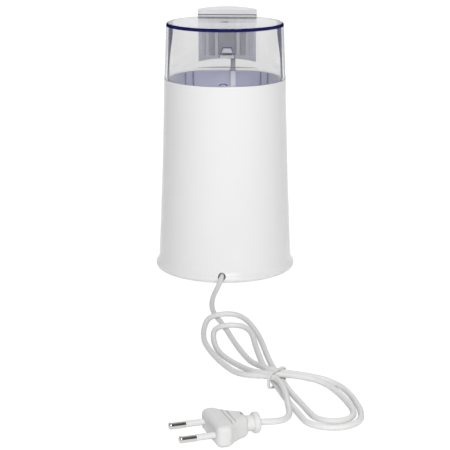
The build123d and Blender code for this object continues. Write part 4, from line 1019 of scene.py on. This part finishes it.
class GRINDER_OT_stage(GrinderTool, bpy.types.Operator):
    """Set the pale floor, the soft light and the white surroundings"""

    bl_idname = "grinder.stage"
    bl_label = "Stage"

    def execute(self, context):
        sizes = context.scene.grinder_stage
        self.floor(context, sizes)
        self.soft_light(context, sizes, "key_softbox", sizes.key_power, sizes.key_place)
        self.soft_light(context, sizes, "fill_softbox", sizes.fill_power, sizes.fill_place)
        self.surroundings(context, sizes)
        context.scene.view_settings.view_transform = "Standard"
        return {"FINISHED"}

    def floor(self, context, sizes):
        """Plain floor that keeps the shadow, and looks white to the camera, mirrors and lenses."""
        half = sizes.floor_side / 2
        around = ((-half, -half), (half, -half), (half, half), (-half, half))
        corners = [(x, y, -sizes.floor_gap) for x, y in around]
        mesh = bpy.data.meshes.new("studio_floor")
        mesh.from_pydata(corners, [], [(0, 1, 2, 3)])
        piece = bpy.data.objects.new("studio_floor", mesh)
        context.collection.objects.link(piece)
        finish = Finish("floor_white", sizes.floor_white, 0.8, {"Specular IOR Level": 0.0})
        glow = finish.node("ShaderNodeEmission", None, {"Color": WHITE, "Strength": sizes.floor_glow})
        path = finish.node("ShaderNodeLightPath")
        camera, mirror, lens = (Signal(finish, path.outputs[ray]) for ray in SEEN_BY)
        surface = finish.mix_shaders((camera + mirror + lens) * sizes.floor_seen, finish.shader, glow)
        finish.feed(finish.output.inputs["Surface"], surface.outputs[0])
        mesh.materials.append(finish.material)

    def soft_light(self, context, sizes, name, power, place):
        """One large soft lamp that points at the grinder."""
        data = bpy.data.lights.new(name, "AREA")
        data.energy = power
        data.size = sizes.light_side
        lamp = bpy.data.objects.new(name, data)
        lamp.location = place
        aim = Vector(sizes.light_aim) - lamp.location
        lamp.rotation_euler = aim.to_track_quat("-Z", "Y").to_euler()
        context.collection.objects.link(lamp)

    def surroundings(self, context, sizes):
        """White behind the object, and for mirrors a dim room on the side that it is seen from."""
        world = bpy.data.worlds.new("studio_white")
        world.use_nodes = True
        context.scene.world = world
        shading = Shading(world.node_tree)
        even = shading.tree.nodes["Background"]
        shading.feed(even.inputs["Color"], WHITE)
        shading.feed(even.inputs["Strength"], sizes.ambient)
        white = shading.node("ShaderNodeBackground", None, {"Color": WHITE})
        way = shading.node("ShaderNodeTexCoord").outputs["Generated"]
        split = shading.node("ShaderNodeSeparateXYZ", None, {"Vector": way})
        far_side = shading.step(Signal(shading, split.outputs["Y"]), *sizes.room_span)
        level = far_side * (1.0 - sizes.room) + sizes.room
        room = shading.node("ShaderNodeBackground", None, {"Strength": level})
        path = shading.node("ShaderNodeLightPath")
        result = even
        camera, mirror, lens = SEEN_BY
        for ray, background in ((camera, white), (lens, white), (mirror, room)):
            result = shading.mix_shaders(path.outputs[ray], result, background)
        shading.feed(shading.tree.nodes["World Output"].inputs["Surface"], result.outputs[0])


GROUPS = (
    ("grinder_camera", GrinderCamera),
    ("grinder_cord", GrinderCord),
    ("grinder_spring", GrinderSpring),
    ("grinder_colours", GrinderColours),
    ("grinder_button", GrinderButton),
    ("grinder_lid", GrinderLid),
    ("grinder_stage", GrinderStage),
)
TOOLS = (
    GRINDER_OT_camera,
    GRINDER_OT_cord,
    GRINDER_OT_plug,
    GRINDER_OT_shell,
    GRINDER_OT_lid,
    GRINDER_OT_button,
    GRINDER_OT_spring,
    GRINDER_OT_bowl,
    GRINDER_OT_motor,
    GRINDER_OT_stage,
)


class GRINDER_PT_panel(bpy.types.Panel):
    """Lists the grinder's operators in the sidebar"""

    bl_label = "Coffee grinder"
    bl_idname = "GRINDER_PT_panel"
    bl_space_type = "VIEW_3D"
    bl_region_type = "UI"
    bl_category = "Grinder"

    def draw(self, context):
        for tool in TOOLS:
            self.layout.operator(tool.bl_idname)


def register():
    """Make the groups, the operators and the panel known."""
    for name, group in GROUPS:
        bpy.utils.register_class(group)
        setattr(bpy.types.Scene, name, bpy.props.PointerProperty(type=group))
    for tool in TOOLS:
        bpy.utils.register_class(tool)
    bpy.utils.register_class(GRINDER_PT_panel)


def unregister():
    """Take them out again, last one first."""
    bpy.utils.unregister_class(GRINDER_PT_panel)
    for tool in reversed(TOOLS):
        bpy.utils.unregister_class(tool)
    for name, group in reversed(GROUPS):
        delattr(bpy.types.Scene, name)
        bpy.utils.unregister_class(group)


def main():
    """Dress the grinder and set the stage."""
    register()
    bpy.ops.grinder.camera()
    bpy.ops.grinder.cord()
    bpy.ops.grinder.plug()
    bpy.ops.grinder.shell()
    bpy.ops.grinder.lid()
    bpy.ops.grinder.button()
    bpy.ops.grinder.spring()
    bpy.ops.grinder.bowl()
    bpy.ops.grinder.motor()
    bpy.ops.grinder.stage()


if __name__ == "__main__":
    main()
